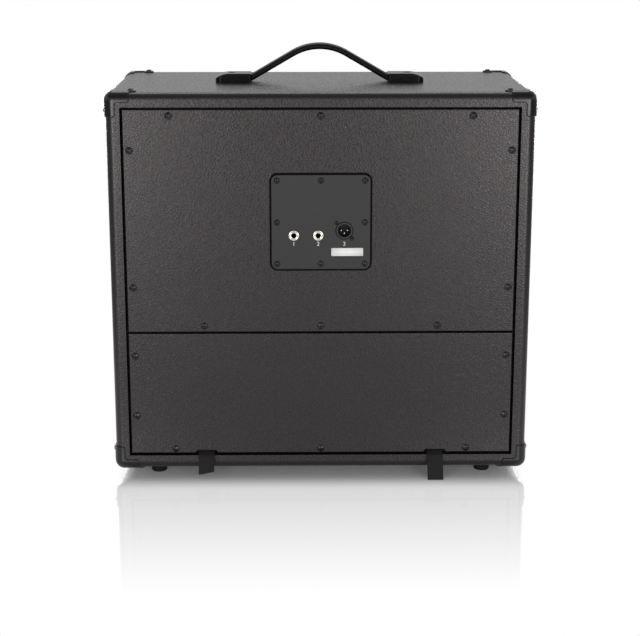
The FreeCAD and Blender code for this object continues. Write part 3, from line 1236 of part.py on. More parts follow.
cone_in = rim - dim("rim_width") - 1.35 * dim("cone_wall")
cone_slope = (cone_in - dim("coil_radius")) / dim("cone_depth")
cap_seat = baffle_rear + dim("frame_card") + 0.8 + (cone_in - cap_base) / cone_slope - 0.4
cap_centre = V(0, cap_seat - cap_rise + cap_ball, middle)
dome = Part.makeSphere(cap_ball, cap_centre).cut(Part.makeSphere(cap_ball - 0.8, cap_centre))
keep = axis_cylinder(cap_base + 5, cap_rise + 2, (0, cap_seat - cap_rise - 2, middle), (0, 1, 0))
dust_cap = feature("dust_cap", dome.common(keep))

roll_wall = dim("surround_wall")
roll_out = dim("frame_radius") - dim("opening_inset") - 1.5
roll_in = rim - 0.5
roll_r = (roll_out - roll_in) / 2
roll_mid = (roll_out + roll_in) / 2
roll_y = baffle_rear + dim("frame_card")
lip_out = bolt_circle - bolt_shank - 1
roll = Part.makeTorus(roll_mid, roll_r).cut(Part.makeTorus(roll_mid, roll_r - roll_wall))
roll = roll.cut(Part.makeCylinder(2 * dim("frame_radius"), 4 * roll_r))
roll.Placement = FreeCAD.Placement(V(0, roll_y, middle), TURNS["y"])
lip_face = (0, roll_y - roll_wall, middle)
hole_face = (0, roll_y - 3 * roll_wall, middle)
inner_lip = axis_cylinder(roll_in + 0.6, roll_wall, lip_face, (0, 1, 0)).cut(
    axis_cylinder(rim - 1.3 * dim("rim_width"), 4 * roll_wall, hole_face, (0, 1, 0)))
outer_lip = axis_cylinder(lip_out, roll_wall, lip_face, (0, 1, 0)).cut(
    axis_cylinder(roll_out - 0.6, 4 * roll_wall, hole_face, (0, 1, 0)))
speaker_surround = feature("speaker_surround", roll.fuse(inner_lip).fuse(outer_lip).removeSplitter())
spider = ring("spider", "spider_radius", "coil_radius + 0.3", "surround_wall", f"{LEDGE_AT} - surround_wall")

# Loudspeaker terminals and bolts

STRIP_AT = f"({LEDGE_AT} + frame_sheet)"
TAB_LEVEL = f"({MIDDLE} + terminal_in + 0.78*terminal_height)"
board = box("terminal_strip", ("terminal_width", "terminal_thick", "terminal_height"),
            ("-terminal_width/2", rear(STRIP_AT), f"{MIDDLE} + terminal_in"))
tabs = [box(f"terminal_tab_{side}", ("tab_width", "tab_length", "0.8"),
            (f"{side}*tab_spacing/2 - tab_width/2", rear(f"{STRIP_AT} + terminal_thick"), TAB_LEVEL))
        for side in (-1, 1)]
speaker_terminals = group("speaker_terminals", [board] + tabs)
speaker_bolts = screws("speaker_bolts", screw(dim("bolt_head"), 2.4, bolt_shank,
                                              wall_at + dim("baffle_thick") - 1, 1.2),
                       [((x, baffle_rear + wall_at, z), (0, 1, 0)) for x, z in bolt_spots])

# Inside microphone on a steel bracket

MIC_Z = f"({SEAM} + mic_lift)"
MIC_X = "(-mic_x)"
RAIL_FACE = f"({PANEL_INNER} - batten)"
mic_tube = cylinder("mic_tube", "mic_radius", "mic_length", (MIC_X, rear("mic_behind"), MIC_Z), "y")
mic_room = cylinder("mic_room", "mic_radius - mic_wall", "mic_length - 2*mic_wall + 5",
                    (MIC_X, rear("mic_behind - 5"), MIC_Z), "y")
microphone_body = cut("microphone_body", mic_tube, mic_room)
head_centre = (-dim("mic_x"), baffle_rear + dim("mic_behind"), mic_z)
head_ball = Part.makeSphere(dim("mic_radius"), V(*head_centre)).cut(
    Part.makeSphere(dim("mic_radius") - dim("mic_wall"), V(*head_centre)))
head_keep = axis_cylinder(4 * dim("mic_radius"), 4 * dim("mic_radius"), head_centre, (0, -1, 0))
microphone_grille = feature("microphone_grille", head_ball.common(head_keep))
CLAMP_AT = "(mic_behind + clamp_set)"
bracket_foot = box("bracket_foot", ("bracket_width", "bracket_sheet", "bracket_height"),
                   (f"{MIC_X} - bracket_width/2", f"{RAIL_FACE} - bracket_sheet",
                    f"{SEAM} - bracket_height/2"))
bracket_arm = box("bracket_arm", ("bracket_width*2/3", f"{RAIL_FACE} - {BAFFLE_REAR} - {CLAMP_AT}",
                                  "bracket_sheet"),
                  (f"{MIC_X} - bracket_width/3", rear(CLAMP_AT), f"{MIC_Z} - mic_radius - 1.5*bracket_sheet"))
clamp_out = cylinder("clamp_out", "mic_radius + bracket_sheet", "clamp_length",
                     (MIC_X, rear(CLAMP_AT), MIC_Z), "y")
clamp_in = cylinder("clamp_in", "mic_radius + 0.1", "clamp_length + 10",
                    (MIC_X, rear(f"{CLAMP_AT} - 5"), MIC_Z), "y")
microphone_bracket = cut("microphone_bracket", fuse("bracket_solid", [bracket_foot, bracket_arm, clamp_out]),
                         group("bracket_cuts", [clamp_in, mic_holes]))

# Wood screws inside the cabinet


def wood_screw(length):
    return screw(wood_head, dim("wood_dome"), wood_shank, length, 1)


inside = [placed(wood_screw(dim("baffle_screw_length")), (x, baffle_face, z), (0, -1, 0))
          for x, z in baffle_spots]
inside += [placed(wood_screw(dim("wood_length")), (x, rail_face - dim("bracket_sheet"), z), (0, -1, 0))
           for x, z in mic_spots]
inside += [placed(wood_screw(0.7 * dim("panel_thick")), (sx * dim("strap_x"), strap_inner, strap_screw_z),
                  (0, -1, 0)) for sx in (-1, 1)]
inside_wood_screws = feature("inside_wood_screws", Part.makeCompound(inside))

# Leads inside the cabinet

jack_back = plate_rear - dim("housing_depth")
jack_level = plate_z - dim("jack_drop")
tab_back = (baffle_rear + ledge_at + dim("frame_sheet") + dim("terminal_thick") + dim("tab_length"))
tab_level = middle + dim("terminal_in") + 0.78 * dim("terminal_height") + 0.4
wires = []
for side in (-1, 1):
    start = (dim("jack_x") + side * dim("wire_pitch") / 2, jack_back, jack_level)
    end = (side * dim("tab_spacing") / 2, tab_back, tab_level)
    reach = jack_back - tab_back
    path = smooth_path([start, (start[0], jack_back - 0.25 * reach, jack_level),
                        (end[0], tab_back + 0.3 * reach, tab_level), end], 14)
    wires.append(swept(path, round_section(start, (0, 1, 0), dim("wire_radius"))))
speaker_lead = feature("speaker_lead", Part.makeCompound(wires))
xlr_back = plate_rear - dim("xlr_depth") - 4
mic_tail = baffle_rear + dim("mic_behind") + dim("mic_length")
mic_start = (-dim("xlr_x"), xlr_back - 0.2, plate_z - dim("xlr_drop"))
mic_end = (-dim("mic_x"), mic_tail, mic_z)
mic_path = smooth_path([mic_start, (mic_start[0], xlr_back - 26, mic_start[2]),
                        (mic_end[0], mic_tail + 34, mic_z), mic_end], 14)
mic_section = round_section(mic_start, (0, 1, 0), dim("mic_lead_radius"))
microphone_lead = feature("microphone_lead", swept(mic_path, mic_section))

# Check every piece and write it out

NODES = [
    top_panel, bottom_panel, left_side_panel, right_side_panel, vinyl_covering,
    baffle_battens, rear_battens, rear_mid_rail, baffle_board, inside_wood_screws,
    grille_frame, grille_cloth, grille_pads,
    upper_back_panel, lower_back_panel, back_panel_screws,
    jack_plate, jack_plate_gasket, jack_plate_screws,
    *input_jack, *link_jack, xlr_shell, xlr_insert, xlr_pins,
    rubber_feet, foot_screws, corner_protectors, corner_screws,
    handle_strap, handle_core, left_handle_cap, right_handle_cap, handle_bolts, tee_nuts,
    pull_strap_anchors, left_pull_strap, right_pull_strap,
    speaker_gasket, speaker_basket, top_plate, magnet, back_yoke,
    speaker_cone, dust_cap, voice_coil, speaker_surround, spider,
    speaker_terminals, speaker_bolts,
    microphone_body, microphone_grille, microphone_bracket, speaker_lead, microphone_lead,
]
doc.recompute()
for obj in doc.Objects:
    if "Invalid" in obj.State or "Error" in obj.State:
        raise RuntimeError(f"{obj.Name} did not build: {obj.State}")
for obj in NODES:
    obj.Label = obj.Name
    if obj.Shape.isNull() or not obj.Shape.isValid():
        raise RuntimeError(f"{obj.Name} has no valid shape")
    obj.Shape.exportStep(f"parts/{obj.Label}.step")
print(f"{len(NODES)} pieces written")
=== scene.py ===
# %% [markdown]
# A loudspeaker cabinet seen from behind: a plywood box in black embossed vinyl, with a screwed
# two-piece back, a jack plate, a carrying handle and two webbing pull straps. The solid model is
# loaded first as a fixed frame, and everything in this lesson is fitted round it.

# %% Load the frame
import math

import bmesh
import bpy
from mathutils import Matrix, Vector


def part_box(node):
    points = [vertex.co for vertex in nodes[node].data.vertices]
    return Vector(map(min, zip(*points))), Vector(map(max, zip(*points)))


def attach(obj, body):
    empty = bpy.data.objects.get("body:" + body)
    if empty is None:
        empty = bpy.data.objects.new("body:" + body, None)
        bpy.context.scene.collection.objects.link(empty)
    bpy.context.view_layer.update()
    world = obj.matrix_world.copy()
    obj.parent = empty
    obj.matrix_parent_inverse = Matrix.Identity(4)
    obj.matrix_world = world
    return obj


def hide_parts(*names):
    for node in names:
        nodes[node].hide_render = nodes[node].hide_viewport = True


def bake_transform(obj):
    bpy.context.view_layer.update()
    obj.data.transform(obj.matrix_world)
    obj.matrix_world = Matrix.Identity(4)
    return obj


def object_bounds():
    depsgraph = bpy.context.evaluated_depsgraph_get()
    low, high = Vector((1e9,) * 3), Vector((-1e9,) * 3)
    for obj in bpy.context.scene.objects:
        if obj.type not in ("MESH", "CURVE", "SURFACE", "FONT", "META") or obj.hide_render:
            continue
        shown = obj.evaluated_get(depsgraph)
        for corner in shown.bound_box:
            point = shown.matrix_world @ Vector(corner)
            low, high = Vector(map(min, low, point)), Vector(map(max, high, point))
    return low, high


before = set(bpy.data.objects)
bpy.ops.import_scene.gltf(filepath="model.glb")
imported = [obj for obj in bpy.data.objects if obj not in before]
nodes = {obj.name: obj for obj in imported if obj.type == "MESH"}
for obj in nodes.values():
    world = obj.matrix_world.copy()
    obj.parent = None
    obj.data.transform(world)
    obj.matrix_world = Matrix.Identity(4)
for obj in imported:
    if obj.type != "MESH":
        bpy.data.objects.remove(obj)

solid_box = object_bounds()
MM = 0.001
print(len(nodes), "solid pieces, box", solid_box)

# %% [markdown]
# The camera comes before the looks.
# It could be placed by eye, but four corners of the back and the far top edge can be measured in the
# photograph, so a pinhole camera was fitted to them: about 1.9 m behind the cabinet, a little above
# its top, with a long lens.

# %% Camera
CAMERA_PLACE = Vector((0.025, 2.031, 0.694))
CAMERA_PITCH = math.radians(14.29)
CAMERA_TURN = math.radians(0.72)
CAMERA_LENS = 88.9
SENSOR_WIDTH = 36.0

heading = Vector((-math.sin(CAMERA_TURN) * math.cos(CAMERA_PITCH),
                  -math.cos(CAMERA_TURN) * math.cos(CAMERA_PITCH),
                  -math.sin(CAMERA_PITCH)))
camera = bpy.data.objects.new("camera", bpy.data.cameras.new("camera"))
camera.data.lens = CAMERA_LENS
camera.data.sensor_width = SENSOR_WIDTH
camera.data.sensor_fit = "HORIZONTAL"
camera.location = CAMERA_PLACE
camera.rotation_euler = heading.to_track_quat("-Z", "Y").to_euler()
bpy.context.scene.collection.objects.link(camera)
bpy.context.scene.camera = camera
bpy.context.scene.view_settings.view_transform = "Standard"
print("camera", round(CAMERA_PLACE.length, 2), "m from the origin")

# %% [markdown]
# A few small helpers serve every finish. One turns an sRGB hex colour into the linear values that
# shaders use. One adds a node, sets it and links it. One starts a material with its main shader, and
# one gives a material to solid pieces.


# %% Helpers for finishes
def colour(code):
    """Linear RGBA from an sRGB hex code."""
    parts = [int(code[i:i + 2], 16) / 255 for i in (0, 2, 4)]
    return tuple(c / 12.92 if c <= 0.04045 else ((c + 0.055) / 1.055) ** 2.4 for c in parts) + (1.0,)


def node(tree, kind, inputs=None, **settings):
    """Add one shader node with its settings, and set or link its inputs."""
    made = tree.nodes.new("ShaderNode" + kind)
    for name, value in settings.items():
        setattr(made, name, value)
    for name, value in (inputs or {}).items():
        if isinstance(value, bpy.types.NodeSocket):
            tree.links.new(value, made.inputs[name])
        else:
            made.inputs[name].default_value = value
    return made


def start(name, **sockets):
    """A new material, its node tree and its main shader with some sockets set."""
    material = bpy.data.materials.new(name)
    material.use_nodes = True
    tree = material.node_tree
    shader = tree.nodes["Principled BSDF"]
    for socket, value in sockets.items():
        shader.inputs[socket.replace("_", " ").title().replace("Ior", "IOR")].default_value = value
    return material, tree, shader


def dress(material, *names):
    """Give solid pieces one material."""
    for name in names:
        nodes[name].data.materials.clear()
        nodes[name].data.materials.append(material)


print("helpers ready")

# %% [markdown]
# The covering is PVC-coated cloth, embossed with a fine leather grain: flat-topped pebbles about two
# millimetres tall and rather wider, with creases between them. A picture of real vinyl could be laid
# on, but a pattern made of nodes keeps its scale on every face and needs no file. A Voronoi pattern
# gives the pebbles, a noise bends its straight borders, and a finer noise gives the skin of each
# pebble. The place is scaled first, so that the pebbles come out wider than tall. The creases are
# painted darker, as painted shade, and are duller than the tops, which is what the eye reads as
# leather.

# %% Embossed vinyl
PEBBLE = 2.2 * MM
PEBBLE_STRETCH = (0.62, 0.85, 1.0)
PEBBLE_DEPTH = 0.07 * MM
DRIFT = 2.2 * PEBBLE
DRIFT_PUSH = 1.5 * PEBBLE
SKIN_GRAIN = 0.35 * PEBBLE
SKIN_SHARE = 0.2
PATCH = 50 * MM
VINYL_ROUGH = 0.235

# PVC-coated cloth: black, with a soft, faintly warm sheen on the pebbles and dull creases.
vinyl, tree, shader = start("embossed_black_vinyl", ior=1.5, specular_tint=(1.0, 0.93, 0.94, 1.0))
whole = node(tree, "TexCoord").outputs["Object"]
place = node(tree, "VectorMath", {0: whole, 1: PEBBLE_STRETCH}, operation="MULTIPLY").outputs[0]
drift = node(tree, "TexNoise", {"Vector": place, "Scale": 1 / DRIFT, "Detail": 3.0})
centred = node(tree, "VectorMath", {0: drift.outputs["Color"], 1: (0.5, 0.5, 0.5)},
               operation="SUBTRACT")
push = node(tree, "VectorMath", {0: centred.outputs[0], "Scale": DRIFT_PUSH}, operation="SCALE")
bent = node(tree, "VectorMath", {0: place, 1: push.outputs[0]}, operation="ADD").outputs[0]
cells = node(tree, "TexVoronoi", {"Vector": bent, "Scale": 1 / PEBBLE}, feature="DISTANCE_TO_EDGE")
crease = node(tree, "MapRange", {"Value": cells.outputs["Distance"],
                                 "From Min": 0.02, "From Max": 0.28},
              interpolation_type="SMOOTHSTEP").outputs["Result"]
skin = node(tree, "TexNoise", {"Vector": place, "Scale": 1 / SKIN_GRAIN, "Detail": 3.0})
relief = node(tree, "Math", {0: skin.outputs["Fac"], 1: SKIN_SHARE, 2: crease},
              operation="MULTIPLY_ADD").outputs[0]
patch = node(tree, "TexNoise", {"Vector": place, "Scale": 1 / PATCH, "Detail": 3.0}).outputs["Fac"]
tone = node(tree, "Math", {0: patch, 1: 0.5, 2: relief}, operation="MULTIPLY_ADD").outputs[0]
share = node(tree, "MapRange", {"Value": tone, "From Min": 0.2, "From Max": 1.7}).outputs["Result"]
# Painted shade: the creases get the darker colour.
blend = node(tree, "Mix", {"Factor": share, "A": colour("100e0f"), "B": colour("181516")},
             data_type="RGBA")
tree.links.new(blend.outputs["Result"], shader.inputs["Base Color"])
gloss = node(tree, "MapRange", {"Value": relief, "From Min": 0.1, "From Max": 1.4,
                                "To Min": VINYL_ROUGH + 0.12, "To Max": VINYL_ROUGH - 0.08})
tree.links.new(gloss.outputs["Result"], shader.inputs["Roughness"])
bump = node(tree, "Bump", {"Height": relief, "Strength": 0.9, "Distance": PEBBLE_DEPTH})
tree.links.new(bump.outputs["Normal"], shader.inputs["Normal"])
dress(vinyl, "vinyl_covering", "upper_back_panel", "lower_back_panel")
print("vinyl on the walls and both back panels")

# %% [markdown]
# Many smaller pieces are moulded plastic, rubber or plated steel. Each has a fine, uneven surface
# from its mould, its coating or its plating. One function makes them all: a noise in Object
# coordinates varies the colour a little, the gloss more, and gives a shallow relief, at a grain
# size in millimetres that fits how the surface was made. In the slots and corners of screws and of
# the three-pin socket, an Ambient Occlusion node paints shade: what is boxed in is painted darker. The
# corner protectors and the turned jack nuts have soft edges. A bevel would change the solid's own
# mesh, so a Bevel node rounds only the shading there.


# %% Function for moulded and plated finishes
def fine_finish(name, low, high, grain, depth, rough, spread,
                metallic=0.0, ior=1.5, painted_shade_reach=0.0, edge=0.0):
    """A finish whose colour, gloss and relief follow one fine grain, with broad marks of handling.

    Grain, depth, edge and the reach of the painted shade are in millimetres. Where that reach is given,
    corners and slots up to that size get painted shade: an Ambient Occlusion node paints them darker.
    Where edge is given, sharp edges are shaded as if rounded by that radius.
    """
    material, tree, shader = start(name, metallic=metallic, ior=ior)
    grain *= MM
    place = node(tree, "TexCoord").outputs["Object"]
    fine = node(tree, "TexNoise", {"Vector": place, "Scale": 1 / grain, "Detail": 4.0}).outputs["Fac"]
    broad = node(tree, "TexNoise", {"Vector": place, "Scale": 1 / (14 * grain), "Detail": 3.0})
    tone = node(tree, "Math", {0: broad.outputs["Fac"], 1: 0.6, 2: fine},
                operation="MULTIPLY_ADD").outputs[0]
    share = node(tree, "MapRange", {"Value": tone, "From Min": 0.45, "From Max": 1.15})
    blend = node(tree, "Mix", {"Factor": share.outputs["Result"], "A": colour(low), "B": colour(high)},
                 data_type="RGBA")
    # Painted shade: an Ambient Occlusion node paints slots and corners darker, down to 020202.
    if painted_shade_reach:
        openness = node(tree, "AmbientOcclusion", {"Distance": painted_shade_reach * MM}, samples=8).outputs["AO"]
        unshaded = node(tree, "MapRange", {"Value": openness, "From Min": 0.4, "From Max": 0.85})
        blend = node(tree, "Mix", {"Factor": unshaded.outputs["Result"], "A": colour("020202"),
                                   "B": blend.outputs["Result"]}, data_type="RGBA")
    tree.links.new(blend.outputs["Result"], shader.inputs["Base Color"])
    gloss = node(tree, "MapRange", {"Value": tone, "From Min": 0.45, "From Max": 1.15,
                                    "To Min": rough - spread, "To Max": rough + spread})
    tree.links.new(gloss.outputs["Result"], shader.inputs["Roughness"])
    bump = node(tree, "Bump", {"Height": fine, "Strength": 0.5, "Distance": depth * MM})
    if edge:
        worn = node(tree, "Bevel", {"Radius": edge * MM}, samples=8).outputs["Normal"]
        tree.links.new(worn, bump.inputs["Normal"])
    tree.links.new(bump.outputs["Normal"], shader.inputs["Normal"])
    return material


print("finish function ready")

# %% [markdown]
# Each of these finishes could have nodes of its own, but in one table they are easier to compare.
# Each row is one real material: its two colours, the size and depth of its grain in millimetres, its
# roughness and how far that varies, what else it needs, and the pieces made of it.

# %% Moulded and plated finishes
FINISHES = {
    # Black-oxide steel: dark, slightly oily sheen; its slots get painted shade.
    "black_oxide_steel": (
        ("343435", "4b4b4c", 0.5, 0.02, 0.36, 0.08), {"metallic": 1.0, "painted_shade_reach": 2.4},
        ("back_panel_screws", "jack_plate_screws", "corner_screws", "handle_bolts")),
    # Zinc-plated steel: pale, faintly blue, slightly cloudy.
    "zinc_plated_steel": (
        ("8e9094", "b3b4b6", 0.8, 0.01, 0.34, 0.1), {"metallic": 1.0},
        ("inside_wood_screws", "tee_nuts", "foot_screws", "speaker_bolts", "handle_core",
         "top_plate", "back_yoke", "microphone_bracket")),
    # Powder-coated steel sheet: satin with a faint orange peel.
    "powder_coated_plate": (
        ("0d0c0c", "121111", 1.1, 0.03, 0.5, 0.05), {"ior": 1.46}, ("jack_plate",)),
    # Closed-cell rubber: nearly black and dull.
    "gasket_rubber": (
        ("040404", "080808", 0.7, 0.05, 0.9, 0.05), {"ior": 1.2}, ("jack_plate_gasket",)),
    # Nickel plate on turned brass: bright and slightly warm.
    "nickel_plate": (
        ("cfcbc4", "e6e2dc", 0.4, 0.004, 0.2, 0.06), {"metallic": 1.0, "edge": 0.9},
        ("input_jack_sleeve", "link_jack_sleeve", "input_jack_nut", "link_jack_nut")),
    # Glass-filled nylon: hard, black, faintly mottled.
    "glass_filled_nylon": (
        ("080808", "0e0e0f", 0.5, 0.03, 0.55, 0.07), {"ior": 1.35},
        ("input_jack_housing", "link_jack_housing", "xlr_insert")),
    # Phosphor bronze strip: warm and springy.
    "phosphor_bronze": (
        ("9a6a3e", "b88a55", 0.6, 0.01, 0.3, 0.08), {"metallic": 1.0},
        ("input_jack_tip_spring", "link_jack_tip_spring")),
    # Die-cast zinc with black chromate: dark grey, half metal and half coating; its corners get painted
    # shade.
    "black_chromate_zinc": (
        ("2e2e30", "3e3e40", 0.6, 0.02, 0.32, 0.07), {"metallic": 0.6, "painted_shade_reach": 5}, ("xlr_shell",)),
    # Silver-plated contact pins: very bright.
    "silver_plate": (
        ("d9d6cf", "efece6", 0.3, 0.004, 0.18, 0.05), {"metallic": 1.0}, ("xlr_pins",)),
    # Moulded rubber: black, matt, slightly dusty.
    "moulded_rubber": (
        ("070707", "0e0d0d", 0.8, 0.06, 0.74, 0.06), {"ior": 1.3}, ("rubber_feet",)),
    # ABS from a spark-eroded mould: fine texture with a soft sheen.
    "textured_abs": (
        ("0b0a0b", "121112", 0.7, 0.03, 0.2, 0.05), {"ior": 1.42, "edge": 1.0},
        ("corner_protectors",)),
    # ABS from a polished mould: handle end caps.
    "polished_abs": (
        ("060606", "0c0b0b", 0.9, 0.02, 0.22, 0.06), {"ior": 1.25},
        ("left_handle_cap", "right_handle_cap")),
    # Stamped steel in black enamel: smooth and glossy.
    "enamelled_steel": (
        ("141414", "1d1d1e", 1.4, 0.04, 0.36, 0.06), {}, ("speaker_basket",)),
    # Sintered ferrite: grey-black, matt, faintly granular.
    "sintered_ferrite": (
        ("26262a", "38383c", 0.6, 0.05, 0.68, 0.06), {}, ("magnet",)),
    # Pressed card of the loudspeaker's front gasket: brown-grey and dull.
    "pressed_card": (
        ("2d2a26", "453f38", 0.9, 0.08, 0.86, 0.05), {}, ("speaker_gasket",)),
    # Phenolic strip and its tabs: brown, half gloss.
    "phenolic_strip": (
        ("5a3a22", "7a5230", 0.9, 0.03, 0.5, 0.08), {}, ("speaker_terminals",)),
    # Painted brass of the microphone's body.
    "painted_brass": (
        ("202124", "303236", 0.6, 0.02, 0.38, 0.06), {"metallic": 0.3}, ("microphone_body",)),
    # Hook-and-loop pads: matt fibres.
    "hook_and_loop": (
        ("121212", "262524", 0.5, 0.25, 0.95, 0.03), {}, ("grille_pads",)),
    # Doped cloth of the loudspeaker's surround: dark, with patches of gloss.
    "doped_cloth": (
        ("161514", "2a2724", 0.9, 0.1, 0.62, 0.1), {}, ("speaker_surround",)),
    # Resin-stiffened cloth of the spider: ochre and dull.
    "resin_cloth": (
        ("8a6a35", "b08c50", 0.8, 0.12, 0.8, 0.06), {}, ("spider",)),
    # PVC sheath of the inside leads: black, half gloss.
    "pvc_sheath": (
        ("141414", "1f1f1f", 0.9, 0.02, 0.45, 0.08), {}, ("speaker_lead", "microphone_lead")),
}
for name, (values, more, names) in FINISHES.items():
    dress(fine_finish(name, *values, **more), *names)
print(len(FINISHES), "moulded, plated and coated finishes")

# %% [markdown]
# Plywood and pine are inside, where only a repairer sees them. Sawn rings could be made with a Wave
# node, but both woods show long fibres before rings, so a noise is stretched along the grain with a
# Mapping node, at least twenty times longer than wide.

# %% Timber
PORE_DEPTH = 0.08 * MM


def timber(name, low, high, stretch, grain, rough):
    """Sawn wood: streaks along the grain, dull, with pores."""
    material, tree, shader = start(name, ior=1.5)
    place = node(tree, "TexCoord").outputs["Object"]
    along = node(tree, "Mapping", {"Vector": place, "Scale": stretch}).outputs["Vector"]
    rings = node(tree, "TexNoise", {"Vector": along, "Scale": 1 / grain, "Detail": 5.0,
                                    "Distortion": 0.8}).outputs["Fac"]
    pores = node(tree, "TexNoise", {"Vector": along, "Scale": 6 / grain, "Detail": 3.0}).outputs["Fac"]
    share = node(tree, "Math", {0: pores, 1: 0.4, 2: rings}, operation="MULTIPLY_ADD").outputs[0]
    even = node(tree, "MapRange", {"Value": share, "From Min": 0.4, "From Max": 1.0}).outputs["Result"]
    blend = node(tree, "Mix", {"Factor": even, "A": colour(low), "B": colour(high)}, data_type="RGBA")
    tree.links.new(blend.outputs["Result"], shader.inputs["Base Color"])
    gloss = node(tree, "MapRange", {"Value": pores, "To Min": rough - 0.08, "To Max": rough + 0.1})
    tree.links.new(gloss.outputs["Result"], shader.inputs["Roughness"])
    bump = node(tree, "Bump", {"Height": pores, "Strength": 0.4, "Distance": PORE_DEPTH})
    tree.links.new(bump.outputs["Normal"], shader.inputs["Normal"])
    return material


# Birch plywood: pale, with fine streaks.
birch = timber("birch_plywood", "b98f5c", "dcbd8c", stretch=(0.05, 1.0, 1.0), grain=6 * MM, rough=0.62)
# Planed pine: yellower, with broader streaks.
pine = timber("planed_pine", "c08a4a", "e2b878", stretch=(0.04, 1.0, 1.0), grain=9 * MM, rough=0.6)
# Pine rubbed with black stain, so that nothing pale shows through the gaps of the back.
stained = timber("black_stained_pine", "060606", "121110", stretch=(0.04, 1.0, 1.0), grain=9 * MM,
                 rough=0.75)
dress(birch, "top_panel", "bottom_panel", "left_side_panel", "right_side_panel", "baffle_board",
      "grille_frame")
dress(pine, "baffle_battens")
dress(stained, "rear_battens", "rear_mid_rail")
print("timber inside")

# %% [markdown]
# The leads inside run from the sockets to the loudspeaker and to the microphone. Each is a round
# cable of fixed length, so it is a curve with a round bevel. A quadratic NURBS line through the same
# route points as the solid model gives one smooth sweep, with no corners to round by hand.

# %% Inside leads
WIRE_RADIUS = 1.4 * MM
CABLE_RADIUS = 2.6 * MM
PLUS_ROUTE = [(37.2, 99.7, 314), (37.2, 65.4, 314), (7, 3.6, 336.4), (7, -37.6, 336.4)]
MINUS_ROUTE = [(29.2, 99.7, 314), (29.2, 65.4, 314), (-7, 3.6, 336.4), (-7, -37.6, 336.4)]
MICROPHONE_ROUTE = [(-28.8, 104.5, 319.7), (-28.8, 78.7, 319.7), (-120, 56.4, 215), (-120, 22.4, 215)]


def lead(name, route, radius):
    """A round cable on one smooth line, from a socket back into the object."""
    curve = bpy.data.curves.new(name, "CURVE")
    curve.dimensions = "3D"
    curve.bevel_depth = radius
    curve.bevel_resolution = 4
    curve.resolution_u = 16
    curve.use_fill_caps = True
    line = curve.splines.new("NURBS")
    line.points.add(len(route) - 1)
    for point, place in zip(line.points, route):
        point.co = (*(c * MM for c in place), 1.0)
    line.order_u = 3
    line.use_endpoint_u = True
    piece = bpy.data.objects.new(name, curve)
    bpy.context.scene.collection.objects.link(piece)
    curve.materials.append(bpy.data.materials["pvc_sheath"])
    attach(piece, "cabinet")
    return piece


plus_wire = lead("speaker_lead_plus", PLUS_ROUTE, WIRE_RADIUS)
lead("speaker_lead_minus", MINUS_ROUTE, WIRE_RADIUS)
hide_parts("speaker_lead")
mic_lead = lead("microphone_cable", MICROPHONE_ROUTE, CABLE_RADIUS)
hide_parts("microphone_lead")
print("three leads")

# %% [markdown]
# Two small helpers serve the new pieces. One hangs a finished bmesh in the scene as one piece: it
# recalculates the normals, makes the faces smooth, ties the piece to a body and gives it its finish.
# The other works modifiers into the mesh, so that the piece is final.


# %% Helpers for new pieces
def keep_piece(name, shape, material, body="cabinet"):
    """Turn a bmesh into a piece of the object that rides on a body."""
    bmesh.ops.recalc_face_normals(shape, faces=shape.faces[:])
    data = bpy.data.meshes.new(name)
    shape.to_mesh(data)
    shape.free()
    data.shade_smooth()
    data.materials.append(material)
    piece = bpy.data.objects.new(name, data)
    bpy.context.scene.collection.objects.link(piece)
    if body:
        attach(piece, body)
    return piece


def harden(piece, *modifiers):
    """Work the listed modifiers into the mesh."""
    for kind, settings in modifiers:
        made = piece.modifiers.new(kind.lower(), kind)
        for name, value in settings.items():
            setattr(made, name, value)
    final = bpy.data.meshes.new_from_object(piece.evaluated_get(bpy.context.evaluated_depsgraph_get()))
    piece.modifiers.clear()
    final.name = piece.name
    piece.data = final


print("piece helpers ready")

# %% [markdown]
# The handle is a vinyl grip moulded over a steel strip. Its section is a flat bar with round edges.
# A curve with a bevel could follow the handle, but a bmesh section gives the round edges exactly, so
# a flat grid is scaled to the bar, its corners are bevelled, and its outline is turned upright.

# %% Section of the handle
GRIP_WIDTH = 28 * MM
GRIP_THICK = 7 * MM
GRIP_ROUND = 3.1 * MM
GRIP_Y = -8 * MM
GRIP_END = 125.5 * MM
GRIP_FLAT = 492.2 * MM
QUARTER = math.radians(90)

shape = bmesh.new()
bmesh.ops.create_grid(shape, x_segments=1, y_segments=1, size=0.5)
bmesh.ops.scale(shape, verts=shape.verts[:], vec=(GRIP_THICK, GRIP_WIDTH, 1.0))
bmesh.ops.bevel(shape, geom=shape.verts[:], offset=GRIP_ROUND, segments=5, profile=0.5, material=-1,
                affect="VERTICES")
bmesh.ops.delete(shape, geom=shape.faces[:], context="FACES_ONLY")
bmesh.ops.rotate(shape, verts=shape.verts[:], cent=(0, 0, 0), matrix=Matrix.Rotation(QUARTER, 3, "Y"))
bmesh.ops.translate(shape, verts=shape.verts[:], vec=(GRIP_END, GRIP_Y, GRIP_FLAT))
ring = shape.edges[:]
print("section of", len(ring), "edges")

# %% [markdown]
# The handle's line is made of straight runs and bends: flat in the end cap, a small bend up, a
# straight flank, and one wide bend over the top. So the section is extruded along each run and spun
# round each bend, the same way that the strip inside is bent on a press.

# %% Handle strap
KNEE_X = 94.25 * MM
KNEE_RADIUS = 20 * MM
KNEE_STEPS = 6
CROWN_RADIUS = 68 * MM
CROWN_TOP = 533 * MM
CROWN_STEPS = 18
FLANK = math.radians(30)
FLANK_LENGTH = 58.02 * MM


def run_on(ring, way, pieces=4):
    """Extrude the section along a straight run, in a few steps."""
    for _ in range(pieces):
        made = bmesh.ops.extrude_edge_only(shape, edges=ring)["geom"]
        fresh = [g for g in made if isinstance(g, bmesh.types.BMVert)]
        bmesh.ops.translate(shape, verts=fresh, vec=way / pieces)
        ring = [g for g in made if isinstance(g, bmesh.types.BMEdge) and set(g.verts) <= set(fresh)]
    return ring


